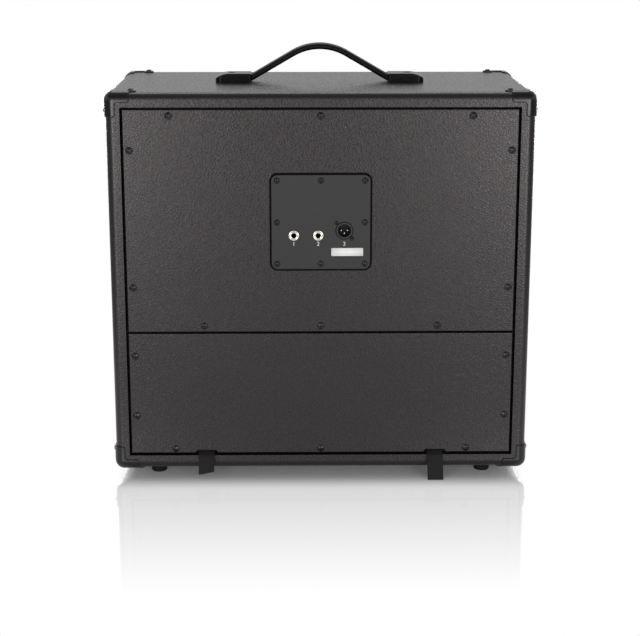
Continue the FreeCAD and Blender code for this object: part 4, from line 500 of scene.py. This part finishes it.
def bend_on(ring, centre, angle, steps):
    """Spin the section round a bend."""
    made = bmesh.ops.spin(shape, geom=ring, cent=centre, axis=(0, 1, 0), angle=angle, steps=steps)
    return [g for g in made["geom_last"] if isinstance(g, bmesh.types.BMEdge)]


flat_run = Vector((KNEE_X - GRIP_END, 0, 0))
flank_in = Vector((-math.cos(FLANK), 0, math.sin(FLANK))) * FLANK_LENGTH
flank_out = Vector((-math.cos(FLANK), 0, -math.sin(FLANK))) * FLANK_LENGTH
knee_z = GRIP_FLAT + KNEE_RADIUS
ring = run_on(ring, flat_run)
ring = bend_on(ring, (KNEE_X, GRIP_Y, knee_z), FLANK, KNEE_STEPS)
ring = run_on(ring, flank_in)
ring = bend_on(ring, (0, GRIP_Y, CROWN_TOP - CROWN_RADIUS), -2 * FLANK, CROWN_STEPS)
ring = run_on(ring, flank_out)
ring = bend_on(ring, (-KNEE_X, GRIP_Y, knee_z), FLANK, KNEE_STEPS)
run_on(ring, flat_run)
bmesh.ops.remove_doubles(shape, verts=shape.verts[:], dist=0.01 * MM)
bmesh.ops.holes_fill(shape, edges=[e for e in shape.edges if e.is_boundary])
# Vinyl from a grained mould: nearly black, soft sheen along the upper edge.
grip_vinyl = fine_finish("moulded_vinyl_grip", "050505", "0b0a0a", 1.3, 0.09, 0.46, 0.08, ior=1.22)
handle = keep_piece("handle_grip_strap", shape, grip_vinyl)
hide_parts("handle_strap")
print("handle strap", [round(d / MM) for d in handle.dimensions], "mm")

# %% [markdown]
# The pull straps are polypropylene webbing, a flat tape woven from matt plastic yarn. The yarn could
# be modelled, but at this size waves in the finish do as well: ribs along the tape, crossed by a
# second wave for the steps of the weave. They read a UV map in metres, across and along, so that the
# weave keeps its size and follows the strap where it bends.

# %% Webbing finish
RIB = 2.2 * MM
STEP = 1.3 * RIB
FUZZ = 0.8 * MM

# Flat-woven tape: ribs along it and a half-step in every second rib; dull, with a faint sheen.
# Real ribs are about 1 mm; they are drawn twice as wide so that they show.
webbing, tree, shader = start("polypropylene_webbing", ior=1.49, roughness=0.7, sheen_weight=0.05,
                              sheen_roughness=0.5)
shader.inputs["Specular IOR Level"].default_value = 0.25
whole = node(tree, "TexCoord").outputs["Object"]
lie = node(tree, "SeparateXYZ", {"Vector": node(tree, "UVMap", uv_map="weave").outputs["UV"]})
ribs = node(tree, "Math", {0: lie.outputs["X"], 1: 2 * math.pi / RIB}, operation="MULTIPLY")
steps = node(tree, "Math", {0: lie.outputs["Y"], 1: 2 * math.pi / STEP}, operation="MULTIPLY")
rib_wave = node(tree, "Math", {0: ribs.outputs[0]}, operation="SINE")
step_wave = node(tree, "Math", {0: steps.outputs[0]}, operation="SINE")
twill = node(tree, "Math", {0: rib_wave.outputs[0], 1: step_wave.outputs[0]}, operation="MULTIPLY")
fuzz = node(tree, "TexNoise", {"Vector": whole, "Scale": 1 / FUZZ, "Detail": 4.0})
weave = node(tree, "Math", {0: fuzz.outputs["Fac"], 1: 0.7, 2: twill.outputs[0]},
             operation="MULTIPLY_ADD")
share = node(tree, "MapRange", {"Value": weave.outputs[0], "From Min": -0.7, "From Max": 1.4})
blend = node(tree, "Mix", {"Factor": share.outputs["Result"], "A": colour("0b0a0b"),
                           "B": colour("1d1b1c")}, data_type="RGBA")
tree.links.new(blend.outputs["Result"], shader.inputs["Base Color"])
bump = node(tree, "Bump", {"Height": weave.outputs[0], "Strength": 0.7, "Distance": 0.25 * MM})
tree.links.new(bump.outputs["Normal"], shader.inputs["Normal"])
print("webbing finish ready")

# %% [markdown]
# Each strap is 20 mm wide, is screwed inside the lower panel, runs down, turns out through its notch
# and hangs. The line seen from the side is drawn with a few points and pulled across into a strip.
# Subdivision bends it smoothly, and a solidify gives its thickness. The left one is cut askew and
# has a slight twist, as in the photograph. The tail lifts.

# %% Pull straps
STRAP_HALF = 10
STRAP_WIDTH = 2 * STRAP_HALF * MM
STRAP_LANES = 4
STRAP_THICK = 1.8 * MM
STRAP_ROUND = 0.45 * MM
STRAP_LEAN = math.radians(29)
STRAP_HINGE = (127.9, 30.7)
INSIDE_LINE = [(112.6, 76.7), (112.6, 62.0), (112.6, 46.0), (112.6, 36.0), (113.2, 32.4), (116.0, 30.8),
               (121.0, 30.7), (125.8, 30.6)]
LIP_DROPS = (1.4, 5)
TAIL_SHARES = (0.38, 0.6, 0.82, 1)
SAME_PLACE = 1e-6


def pull_strap(name, centre, tail, askew, twist):
    """Webbing from its anchor inside to its hanging end."""
    fall = Vector((0, math.sin(STRAP_LEAN), -math.cos(STRAP_LEAN)))
    hang = [(STRAP_HINGE[0] + fall.y * drop, STRAP_HINGE[1] + fall.z * drop)
            for drop in (*LIP_DROPS, *(share * tail for share in TAIL_SHARES))]
    line = INSIDE_LINE + hang
    shape = bmesh.new()
    chain = [shape.verts.new(((centre - STRAP_HALF) * MM, y * MM, z * MM)) for y, z in line]
    lane = [shape.edges.new(pair) for pair in zip(chain, chain[1:])]
    for _ in range(STRAP_LANES):
        made = bmesh.ops.extrude_edge_only(shape, edges=lane)["geom"]
        fresh = [g for g in made if isinstance(g, bmesh.types.BMVert)]
        bmesh.ops.translate(shape, verts=fresh, vec=(STRAP_WIDTH / STRAP_LANES, 0, 0))
        lane = [g for g in made if isinstance(g, bmesh.types.BMEdge) and set(g.verts) <= set(fresh)]
    lengths = {}
    gone = 0.0
    for place, (y, z) in enumerate(line):
        gone += math.dist(line[place - 1], (y, z)) * MM if place else 0.0
        lengths[round(y, 3), round(z, 3)] = gone
    sheet = shape.loops.layers.uv.new("weave")
    for face in shape.faces:
        for loop in face.loops:
            _, y, z = loop.vert.co / MM
            loop[sheet].uv = (loop.vert.co.x - centre * MM, lengths[round(y, 3), round(z, 3)])
    for share, (y, z) in zip((0, LIP_DROPS[1] / tail, *TAIL_SHARES), hang):
        row = [v for v in shape.verts
               if abs(v.co.y - y * MM) < SAME_PLACE and abs(v.co.z - z * MM) < SAME_PLACE]
        for vert in row:
            vert.co += fall * (askew * MM * share * (vert.co.x - centre * MM) / STRAP_WIDTH)
        bmesh.ops.rotate(shape, verts=row, cent=(centre * MM, y * MM, z * MM),
                         matrix=Matrix.Rotation(twist * share, 3, fall))
    piece = keep_piece(name, shape, webbing, body=None)
    harden(piece, ("SUBSURF", {"levels": 2, "render_levels": 2, "boundary_smooth": "PRESERVE_CORNERS"}),
           ("SOLIDIFY", {"thickness": STRAP_THICK, "offset": 0.0}),
           ("BEVEL", {"width": STRAP_ROUND, "segments": 2, "limit_method": "ANGLE"}))
    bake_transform(piece)
    print(name, "webbing", round(gone / MM), "mm long")
    return piece


left_strap = pull_strap("left_webbing_strap", centre=145, tail=24.0, askew=3.2, twist=math.radians(12))
right_strap = pull_strap("right_webbing_strap", centre=-145, tail=33.5, askew=0.0, twist=0.0)
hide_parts("left_pull_strap", "pull_strap_anchors")
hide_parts("right_pull_strap")

# %% [markdown]
# The cloth on the front is woven from flat plastic threads, in a basket pattern that lets the sound
# through. Hundreds of threads could be modelled, but none of them shows as a shape. Two sine waves at
# right angles, multiplied, give the raised and sunken crossings, and a fine noise gives the threads
# their fuzz. The cloth lies flat, so Object coordinates will do.

# %% Grille cloth finish
THREAD = 3.0 * MM
THREAD_FUZZ = 1.2 * MM

# Flat plastic threads, two up and two down: dark, with a slight glint on each crossing.
# Real threads are about 1.5 mm; they are drawn twice as wide so that they show.
grille_weave, tree, shader = start("woven_grille_cloth", ior=1.5, roughness=0.8, sheen_weight=0.15,
                                   sheen_roughness=0.4)
whole = node(tree, "TexCoord").outputs["Object"]
lie = node(tree, "SeparateXYZ", {"Vector": whole})
waves = []
for axis in ("X", "Z"):
    turn = node(tree, "Math", {0: lie.outputs[axis], 1: math.pi / THREAD}, operation="MULTIPLY")
    waves.append(node(tree, "Math", {0: turn.outputs[0]}, operation="SINE").outputs[0])
basket = node(tree, "Math", {0: waves[0], 1: waves[1]}, operation="MULTIPLY")
fuzz = node(tree, "TexNoise", {"Vector": whole, "Scale": 1 / THREAD_FUZZ, "Detail": 3.0})
weave = node(tree, "Math", {0: fuzz.outputs["Fac"], 1: 0.5, 2: basket.outputs[0]},
             operation="MULTIPLY_ADD")
share = node(tree, "MapRange", {"Value": weave.outputs[0], "From Min": -0.8, "From Max": 1.4})
blend = node(tree, "Mix", {"Factor": share.outputs["Result"], "A": colour("121213"),
                           "B": colour("302f30")}, data_type="RGBA")
tree.links.new(blend.outputs["Result"], shader.inputs["Base Color"])
bump = node(tree, "Bump", {"Height": weave.outputs[0], "Strength": 0.6, "Distance": 0.4 * MM})
tree.links.new(bump.outputs["Normal"], shader.inputs["Normal"])
print("grille weave ready")

# %% [markdown]
# The cloth is stretched over a wooden frame and folded round its edges. A simulation would only pull
# it flat again, so it starts as a box with its back open, its edges are rounded where the frame's
# edges round it, and solidify gives it the thickness of woven cloth.

# %% Grille cloth
CLOTH = 0.8 * MM
FOLD_ROUND = 2.2 * MM
FRONT_CUTS = 7

low, high = (Vector(corner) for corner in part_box("grille_cloth"))
shape = bmesh.new()
bmesh.ops.create_cube(shape, size=1.0)
bmesh.ops.scale(shape, verts=shape.verts[:], vec=(high - low) - Vector((CLOTH, CLOTH / 2, CLOTH)))
bmesh.ops.translate(shape, verts=shape.verts[:], vec=(low + high) / 2 + Vector((0, CLOTH / 4, 0)))
rear = [f for f in shape.faces if f.normal.y > 0.9]
bmesh.ops.delete(shape, geom=rear, context="FACES")
folds = [e for e in shape.edges if not e.is_boundary]
bmesh.ops.bevel(shape, geom=folds, offset=FOLD_ROUND, segments=4, profile=0.5, material=-1,
                affect="EDGES")
front = [f for f in shape.faces if f.normal.y < -0.99]
bmesh.ops.subdivide_edges(shape, edges=list({e for f in front for e in f.edges}), cuts=FRONT_CUTS,
                          use_grid_fill=True)
cloth = keep_piece("stretched_grille_cloth", shape, grille_weave)
harden(cloth, ("SOLIDIFY", {"thickness": CLOTH, "offset": 0.0}))
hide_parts("grille_cloth")

# %% [markdown]
# The jack plate carries a blank paper label, a thin slip with rounded corners. It could be a patch of
# colour in the plate's finish, but paper has an edge and a gloss of its own. So it is a flat grid,
# bevelled at its corners, extruded to the thickness of paper and laid on the plate.

# %% Blank label
PLATE_FACE = 128.5 * MM
LABEL_WIDTH = 39.1 * MM
LABEL_HEIGHT = 10 * MM
LABEL_ROUND = 0.9 * MM
LABEL_THICK = 0.15 * MM
LABEL_PLACE = (-32.35 * MM, PLATE_FACE, 293 * MM)

# Coated paper: white, half gloss, nearly smooth.
label_paper = fine_finish("coated_label_paper", "dedddb", "f3f2f0", 1.5, 0.01, 0.55, 0.08)
shape = bmesh.new()
bmesh.ops.create_grid(shape, x_segments=1, y_segments=1, size=0.5)
bmesh.ops.scale(shape, verts=shape.verts[:], vec=(LABEL_WIDTH, LABEL_HEIGHT, 1.0))
bmesh.ops.bevel(shape, geom=shape.verts[:], offset=LABEL_ROUND, segments=3, profile=0.5, material=-1,
                affect="VERTICES")
raised = bmesh.ops.extrude_face_region(shape, geom=shape.faces[:])["geom"]
upper = [g for g in raised if isinstance(g, bmesh.types.BMVert)]
bmesh.ops.translate(shape, verts=upper, vec=(0, 0, LABEL_THICK))
bmesh.ops.rotate(shape, verts=shape.verts[:], cent=(0, 0, 0), matrix=Matrix.Rotation(-QUARTER, 3, "X"))
bmesh.ops.translate(shape, verts=shape.verts[:], vec=LABEL_PLACE)
label = keep_piece("blank_label", shape, label_paper)
print("label", [round(d / MM, 2) for d in label.dimensions], "mm")

# %% [markdown]
# The printed marks on the plate are plain numbers, so that a user can tell the sockets apart. They
# could be painted in the finish, but each is text turned into a mesh and laid on the plate, so that
# it stays sharp.

# %% Socket numbers
FIGURE_SIZE = 7 * MM
INK_THICK = 0.05 * MM
FIGURES = {"1": (33.2, 301.0), "2": (3.3, 301.0), "3": (-28.8, 301.0)}
FACING_BACK = Matrix(((-1, 0, 0), (0, 0, 1), (0, 1, 0))).to_4x4()

# Screen-printed ink: white, matt, faintly uneven.
white_ink = fine_finish("screen_printed_ink", "d6d5d3", "eeedeb", 0.8, 0.01, 0.6, 0.08)
for figure, (x, z) in FIGURES.items():
    text = bpy.data.curves.new("figure_" + figure, "FONT")
    text.body = figure
    text.size = FIGURE_SIZE
    text.extrude = INK_THICK
    text.align_x = "CENTER"
    writing = bpy.data.objects.new("writing", text)
    data = bpy.data.meshes.new_from_object(writing)
    bpy.data.objects.remove(writing)
    data.transform(Matrix.Translation((x * MM, PLATE_FACE + INK_THICK, z * MM)) @ FACING_BACK)
    data.materials.clear()
    data.materials.append(white_ink)
    number = bpy.data.objects.new("socket_number_" + figure, data)
    bpy.context.scene.collection.objects.link(number)
    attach(number, "cabinet")
print(len(FIGURES), "numbers on the plate")

# %% [markdown]
# The loudspeaker's moving parts sit behind the cloth. The cone is pressed from paper pulp: the
# fibres lie at random, and faint rings from the felting screen run round the axis. The rings could be
# cut into the mesh, but they are too shallow for that, so a noise is joined by a wave of the distance
# from the axis.

# %% Cone paper, coil wire and mesh
AXIS_Z = 250 * MM
SCREEN_RING = 6 * MM
PULP = 1.5 * MM

# Pressed paper pulp: dark brown-grey, dull, softly felted.
cone_paper, tree, shader = start("pressed_cone_paper", ior=1.45)
whole = node(tree, "TexCoord").outputs["Object"]
flat = node(tree, "Mapping", {"Vector": whole, "Location": (0, 0, -AXIS_Z), "Scale": (1, 0, 1)})
reach = node(tree, "VectorMath", {0: flat.outputs["Vector"]}, operation="LENGTH").outputs["Value"]
rings = node(tree, "Math", {0: reach, 1: 2 * math.pi / SCREEN_RING}, operation="MULTIPLY")
ring_wave = node(tree, "Math", {0: rings.outputs[0]}, operation="SINE")
pulp = node(tree, "TexNoise", {"Vector": whole, "Scale": 1 / PULP, "Detail": 5.0})
felt = node(tree, "Math", {0: ring_wave.outputs[0], 1: 0.15, 2: pulp.outputs["Fac"]},
            operation="MULTIPLY_ADD").outputs[0]
share = node(tree, "MapRange", {"Value": felt, "From Min": 0.2, "From Max": 0.8})
blend = node(tree, "Mix", {"Factor": share.outputs["Result"], "A": colour("1d1b19"),
                           "B": colour("36322e")}, data_type="RGBA")
tree.links.new(blend.outputs["Result"], shader.inputs["Base Color"])
dull = node(tree, "MapRange", {"Value": felt, "To Min": 0.78, "To Max": 0.95})
tree.links.new(dull.outputs["Result"], shader.inputs["Roughness"])
bump = node(tree, "Bump", {"Height": felt, "Strength": 0.5, "Distance": 0.2 * MM})
tree.links.new(bump.outputs["Normal"], shader.inputs["Normal"])
dress(cone_paper, "speaker_cone", "dust_cap")
# Enamelled copper wire wound on the coil former: warm and bright.
copper = fine_finish("enamelled_copper", "8a4a22", "b0652f", 0.5, 0.05, 0.3, 0.08, metallic=1.0)
dress(copper, "voice_coil")
# Woven steel mesh over the microphone: dull grey.
steel_mesh = fine_finish("woven_steel_mesh", "4c4d50", "77797d", 1.0, 0.3, 0.42, 0.1, metallic=1.0)
dress(steel_mesh, "microphone_grille")
print("loudspeaker finishes set")

# %% [markdown]
# The cabinet stands in a white studio. A picture of a real studio could light it, but a few nodes
# in the world need no file. The surround is plain white to the camera. Shiny pieces mirror a white
# band a little above the horizon, which is greyer at the horizon, high up and far to the sides, so
# the back and its rounded edges stay as dark as in the photograph. The far side, which the top face
# mirrors, stays half bright. For all other light the surround is a dim, even fill.

# %% Surround
FILL = 0.28
FAR_SIDE = 0.45

world = bpy.data.worlds.new("studio")
bpy.context.scene.world = world
world.use_nodes = True
sky = world.node_tree
ground = sky.nodes["Background"]
ground.inputs["Color"].default_value = (1.0, 1.0, 1.0, 1.0)
look = node(sky, "SeparateXYZ", {"Vector": node(sky, "TexCoord").outputs["Generated"]})
sideways = node(sky, "Math", {0: look.outputs["X"]}, operation="ABSOLUTE").outputs[0]
under = node(sky, "MapRange", {"Value": look.outputs["Z"], "From Min": 0.36, "From Max": 0.66,
                               "To Min": 1.0, "To Max": 0.0}, interpolation_type="SMOOTHSTEP")
between = node(sky, "MapRange", {"Value": sideways, "From Min": 0.4, "From Max": 0.85,
                                 "To Min": 1.0, "To Max": 0.0}, interpolation_type="SMOOTHSTEP")
risen = node(sky, "MapRange", {"Value": look.outputs["Z"], "From Min": 0.08, "From Max": 0.17},
             interpolation_type="SMOOTHSTEP")
open_side = node(sky, "Math", {0: between.outputs["Result"], 1: risen.outputs["Result"]},
                 operation="MAXIMUM")
band = node(sky, "Math", {0: under.outputs["Result"], 1: open_side.outputs[0]}, operation="MULTIPLY")
gap = node(sky, "MapRange", {"Value": sideways, "From Min": 0.06, "From Max": 0.32,
                             "To Min": 0.45, "To Max": 0.68}, interpolation_type="SMOOTHSTEP")
horizon = node(sky, "MapRange", {"Value": look.outputs["Z"], "From Min": 0.18, "From Max": 0.3,
                                 "To Min": gap.outputs["Result"], "To Max": 1.0},
               interpolation_type="SMOOTHSTEP")
screen = node(sky, "Math", {0: band.outputs[0], 1: horizon.outputs["Result"]}, operation="MULTIPLY")
over = node(sky, "MapRange", {"Value": look.outputs["Y"], "From Min": 0.5, "From Max": -0.4,
                              "To Min": 0.0, "To Max": FAR_SIDE}, interpolation_type="SMOOTHSTEP")
screen = node(sky, "Math", {0: screen.outputs[0], 1: over.outputs["Result"]}, operation="MAXIMUM")
rays = node(sky, "LightPath")
mirrored = node(sky, "Math", {0: rays.outputs["Is Glossy Ray"], 1: screen.outputs[0]},
                operation="MULTIPLY")
seen = node(sky, "Math", {0: rays.outputs["Is Camera Ray"], 1: rays.outputs["Is Transmission Ray"]},
            operation="MAXIMUM")
shown = node(sky, "Math", {0: seen.outputs[0], 1: mirrored.outputs[0]}, operation="MAXIMUM")
strength = node(sky, "MapRange", {"Value": shown.outputs[0], "To Min": FILL, "To Max": 1.0})
sky.links.new(strength.outputs["Result"], ground.inputs["Strength"])
print("surround set")

# %% [markdown]
# The cabinet stands on one pale polished sheet. It could curve up into a backdrop, but the surround is
# white already, so a flat sheet that ends far away is enough. It isn't part of the object.

# %% Floor sheet
FLOOR_HALF = 16.0

shape = bmesh.new()
bmesh.ops.create_grid(shape, x_segments=8, y_segments=8, size=FLOOR_HALF)
floor_data = bpy.data.meshes.new("floor")
shape.to_mesh(floor_data)
shape.free()
floor = bpy.data.objects.new("floor", floor_data)
bpy.context.scene.collection.objects.link(floor)
print("floor", 2 * FLOOR_HALF, "m wide")

# %% [markdown]
# Away from the cabinet the floor is drawn white, like the surround. Close to the cabinet it shows the
# true shadow, lifted a little by a faint painted glow that lightens the shade under the cabinet. It
# could be drawn white everywhere, but then the cabinet would seem to float.

# %% White of the floor
CLOSE_FROM = -0.024
CLOSE_TO = 0.028
# A faint painted glow that lightens the shade under and close to the cabinet.
UNDER_GLOW = 0.08

half_x = (solid_box[1][0] - solid_box[0][0]) / 2
half_y = (solid_box[1][1] - solid_box[0][1]) / 2
# Pale polished floor: nearly white, dull from above, a faint mirror at a flat angle.
floor_finish, tree, shader = start("pale_polished_floor", roughness=0.9, base_color=colour("f4f4f4"))
place = node(tree, "SeparateXYZ", {"Vector": node(tree, "TexCoord").outputs["Object"]})


def past(axis, half):
    """How far a point of the floor lies past the cabinet's side, in metres."""
    size = node(tree, "Math", {0: place.outputs[axis]}, operation="ABSOLUTE").outputs[0]
    return node(tree, "Math", {0: size, 1: half}, operation="SUBTRACT").outputs[0]


out_x = past("X", half_x)
out_y = past("Y", half_y)
rays = node(tree, "LightPath")
middle = node(tree, "MapRange", {"Value": out_x, "From Min": -0.2, "From Max": 0.2,
                                 "To Min": 0.5, "To Max": 1.0},
              interpolation_type="SMOOTHSTEP").outputs["Result"]
sides = node(tree, "MapRange", {"Value": out_x, "From Min": 0.25, "From Max": 0.8,
                                "To Min": 1.0, "To Max": 0.0},
             interpolation_type="SMOOTHSTEP").outputs["Result"]
strip = node(tree, "Math", {0: middle, 1: sides}, operation="MULTIPLY").outputs[0]
mirrored = node(tree, "Math", {0: rays.outputs["Is Glossy Ray"], 1: strip}, operation="MULTIPLY")
direct = node(tree, "Math", {0: rays.outputs["Is Camera Ray"], 1: rays.outputs["Is Transmission Ray"]},
              operation="MAXIMUM")
seen = node(tree, "Math", {0: direct.outputs[0], 1: mirrored.outputs[0]}, operation="MAXIMUM")
fade_y = node(tree, "MapRange", {"Value": out_y, "From Min": CLOSE_FROM, "From Max": CLOSE_TO,
                                 "To Min": UNDER_GLOW}, interpolation_type="SMOOTHSTEP")
fade_x = node(tree, "MapRange", {"Value": out_x, "From Min": -0.03, "From Max": -0.004},
              interpolation_type="SMOOTHSTEP")
fade = node(tree, "Math", {0: fade_x.outputs["Result"], 1: fade_y.outputs["Result"]},
            operation="MAXIMUM")
glow_share = node(tree, "Math", {0: fade.outputs[0], 1: seen.outputs[0]}, operation="MULTIPLY")
glow = node(tree, "Emission", {"Color": (1.0, 1.0, 1.0, 1.0), "Strength": 1.0})
paper = node(tree, "MixShader", {0: glow_share.outputs[0], 1: shader.outputs[0], 2: glow.outputs[0]})
print("floor white away from the cabinet")

# %% [markdown]
# A polished floor mirrors most at a flat angle. The main shader's own gloss could show that, but here
# the mirror also fades with the distance from the cabinet, as in the photograph. So a mirror shader
# is mixed in, and a Layer Weight node lets it in only at a flat angle.

# %% Shine of the floor
SHINE_FAR = 0.34
SHINE_NEAR_SHARE = 0.04
SHINE_BROAD_SHARE = 0.36

away = node(tree, "Math", {0: out_x, 1: out_y}, operation="MAXIMUM").outputs[0]
close = node(tree, "MapRange", {"Value": away, "From Min": CLOSE_FROM, "From Max": CLOSE_TO,
                                "To Min": SHINE_NEAR_SHARE, "To Max": 0.0},
             interpolation_type="SMOOTHSTEP").outputs["Result"]
broad = node(tree, "MapRange", {"Value": away, "From Max": SHINE_FAR, "To Min": SHINE_BROAD_SHARE,
                                "To Max": 0.0}).outputs["Result"]
shine = node(tree, "Math", {0: close, 1: broad}, operation="ADD").outputs[0]
facing = node(tree, "LayerWeight", {"Blend": 0.5}).outputs["Facing"]
grazing = node(tree, "MapRange", {"Value": facing, "From Min": 0.3, "From Max": 0.62},
               interpolation_type="SMOOTHSTEP")
shine = node(tree, "Math", {0: shine, 1: grazing.outputs["Result"]}, operation="MULTIPLY").outputs[0]
mirror = node(tree, "BsdfGlossy", {"Color": (1.0, 1.0, 1.0, 1.0), "Roughness": 0.05})
polished = node(tree, "MixShader", {0: shine, 1: paper.outputs[0], 2: mirror.outputs[0]})
tree.links.new(polished.outputs[0], tree.nodes["Material Output"].inputs["Surface"])
floor_data.materials.append(floor_finish)
print("floor mirrors up to", SHINE_FAR, "m from the cabinet")

# %% [markdown]
# Point lamps would throw hard shadows, and area lamps are soft because they are large. Two broad ones
# stand beside the camera and brighten the left and right of the back. One hangs over the far side,
# lights the top and throws the short soft shadow at the foot of the back. Two small ones stand low
# before the grille, for the side that the photograph doesn't show.

# %% Lamps
# Each lamp: its place and its size in metres, and its power in watts.
LAMPS = {
    "left_lamp": ((0.9, 2.1, 0.46), (0.9, 0.9), 17.0),
    "right_lamp": ((-0.9, 2.1, 0.46), (0.9, 0.9), 17.0),
    "far_lamp": ((0.0, -1.2, 2.4), (1.6, 0.9), 13.0),
    "left_front_lamp": ((0.8, -2.0, 0.22), (0.5, 0.36), 7.0),
    "right_front_lamp": ((-0.8, -2.0, 0.22), (0.5, 0.36), 7.0),
}
AIM = Vector((0.0, 0.0, 0.26))
for name, (spot, size, power) in LAMPS.items():
    lamp = bpy.data.lights.new(name, "AREA")
    lamp.shape = "RECTANGLE"
    lamp.size, lamp.size_y = size
    lamp.energy = power
    holder = bpy.data.objects.new(name, lamp)
    holder.location = spot
    holder.rotation_euler = (AIM - Vector(spot)).to_track_quat("-Z", "Y").to_euler()
    holder.visible_camera = False
    bpy.context.scene.collection.objects.link(holder)
print(len(LAMPS), "lamps")

# %% Finish
bpy.context.view_layer.update()
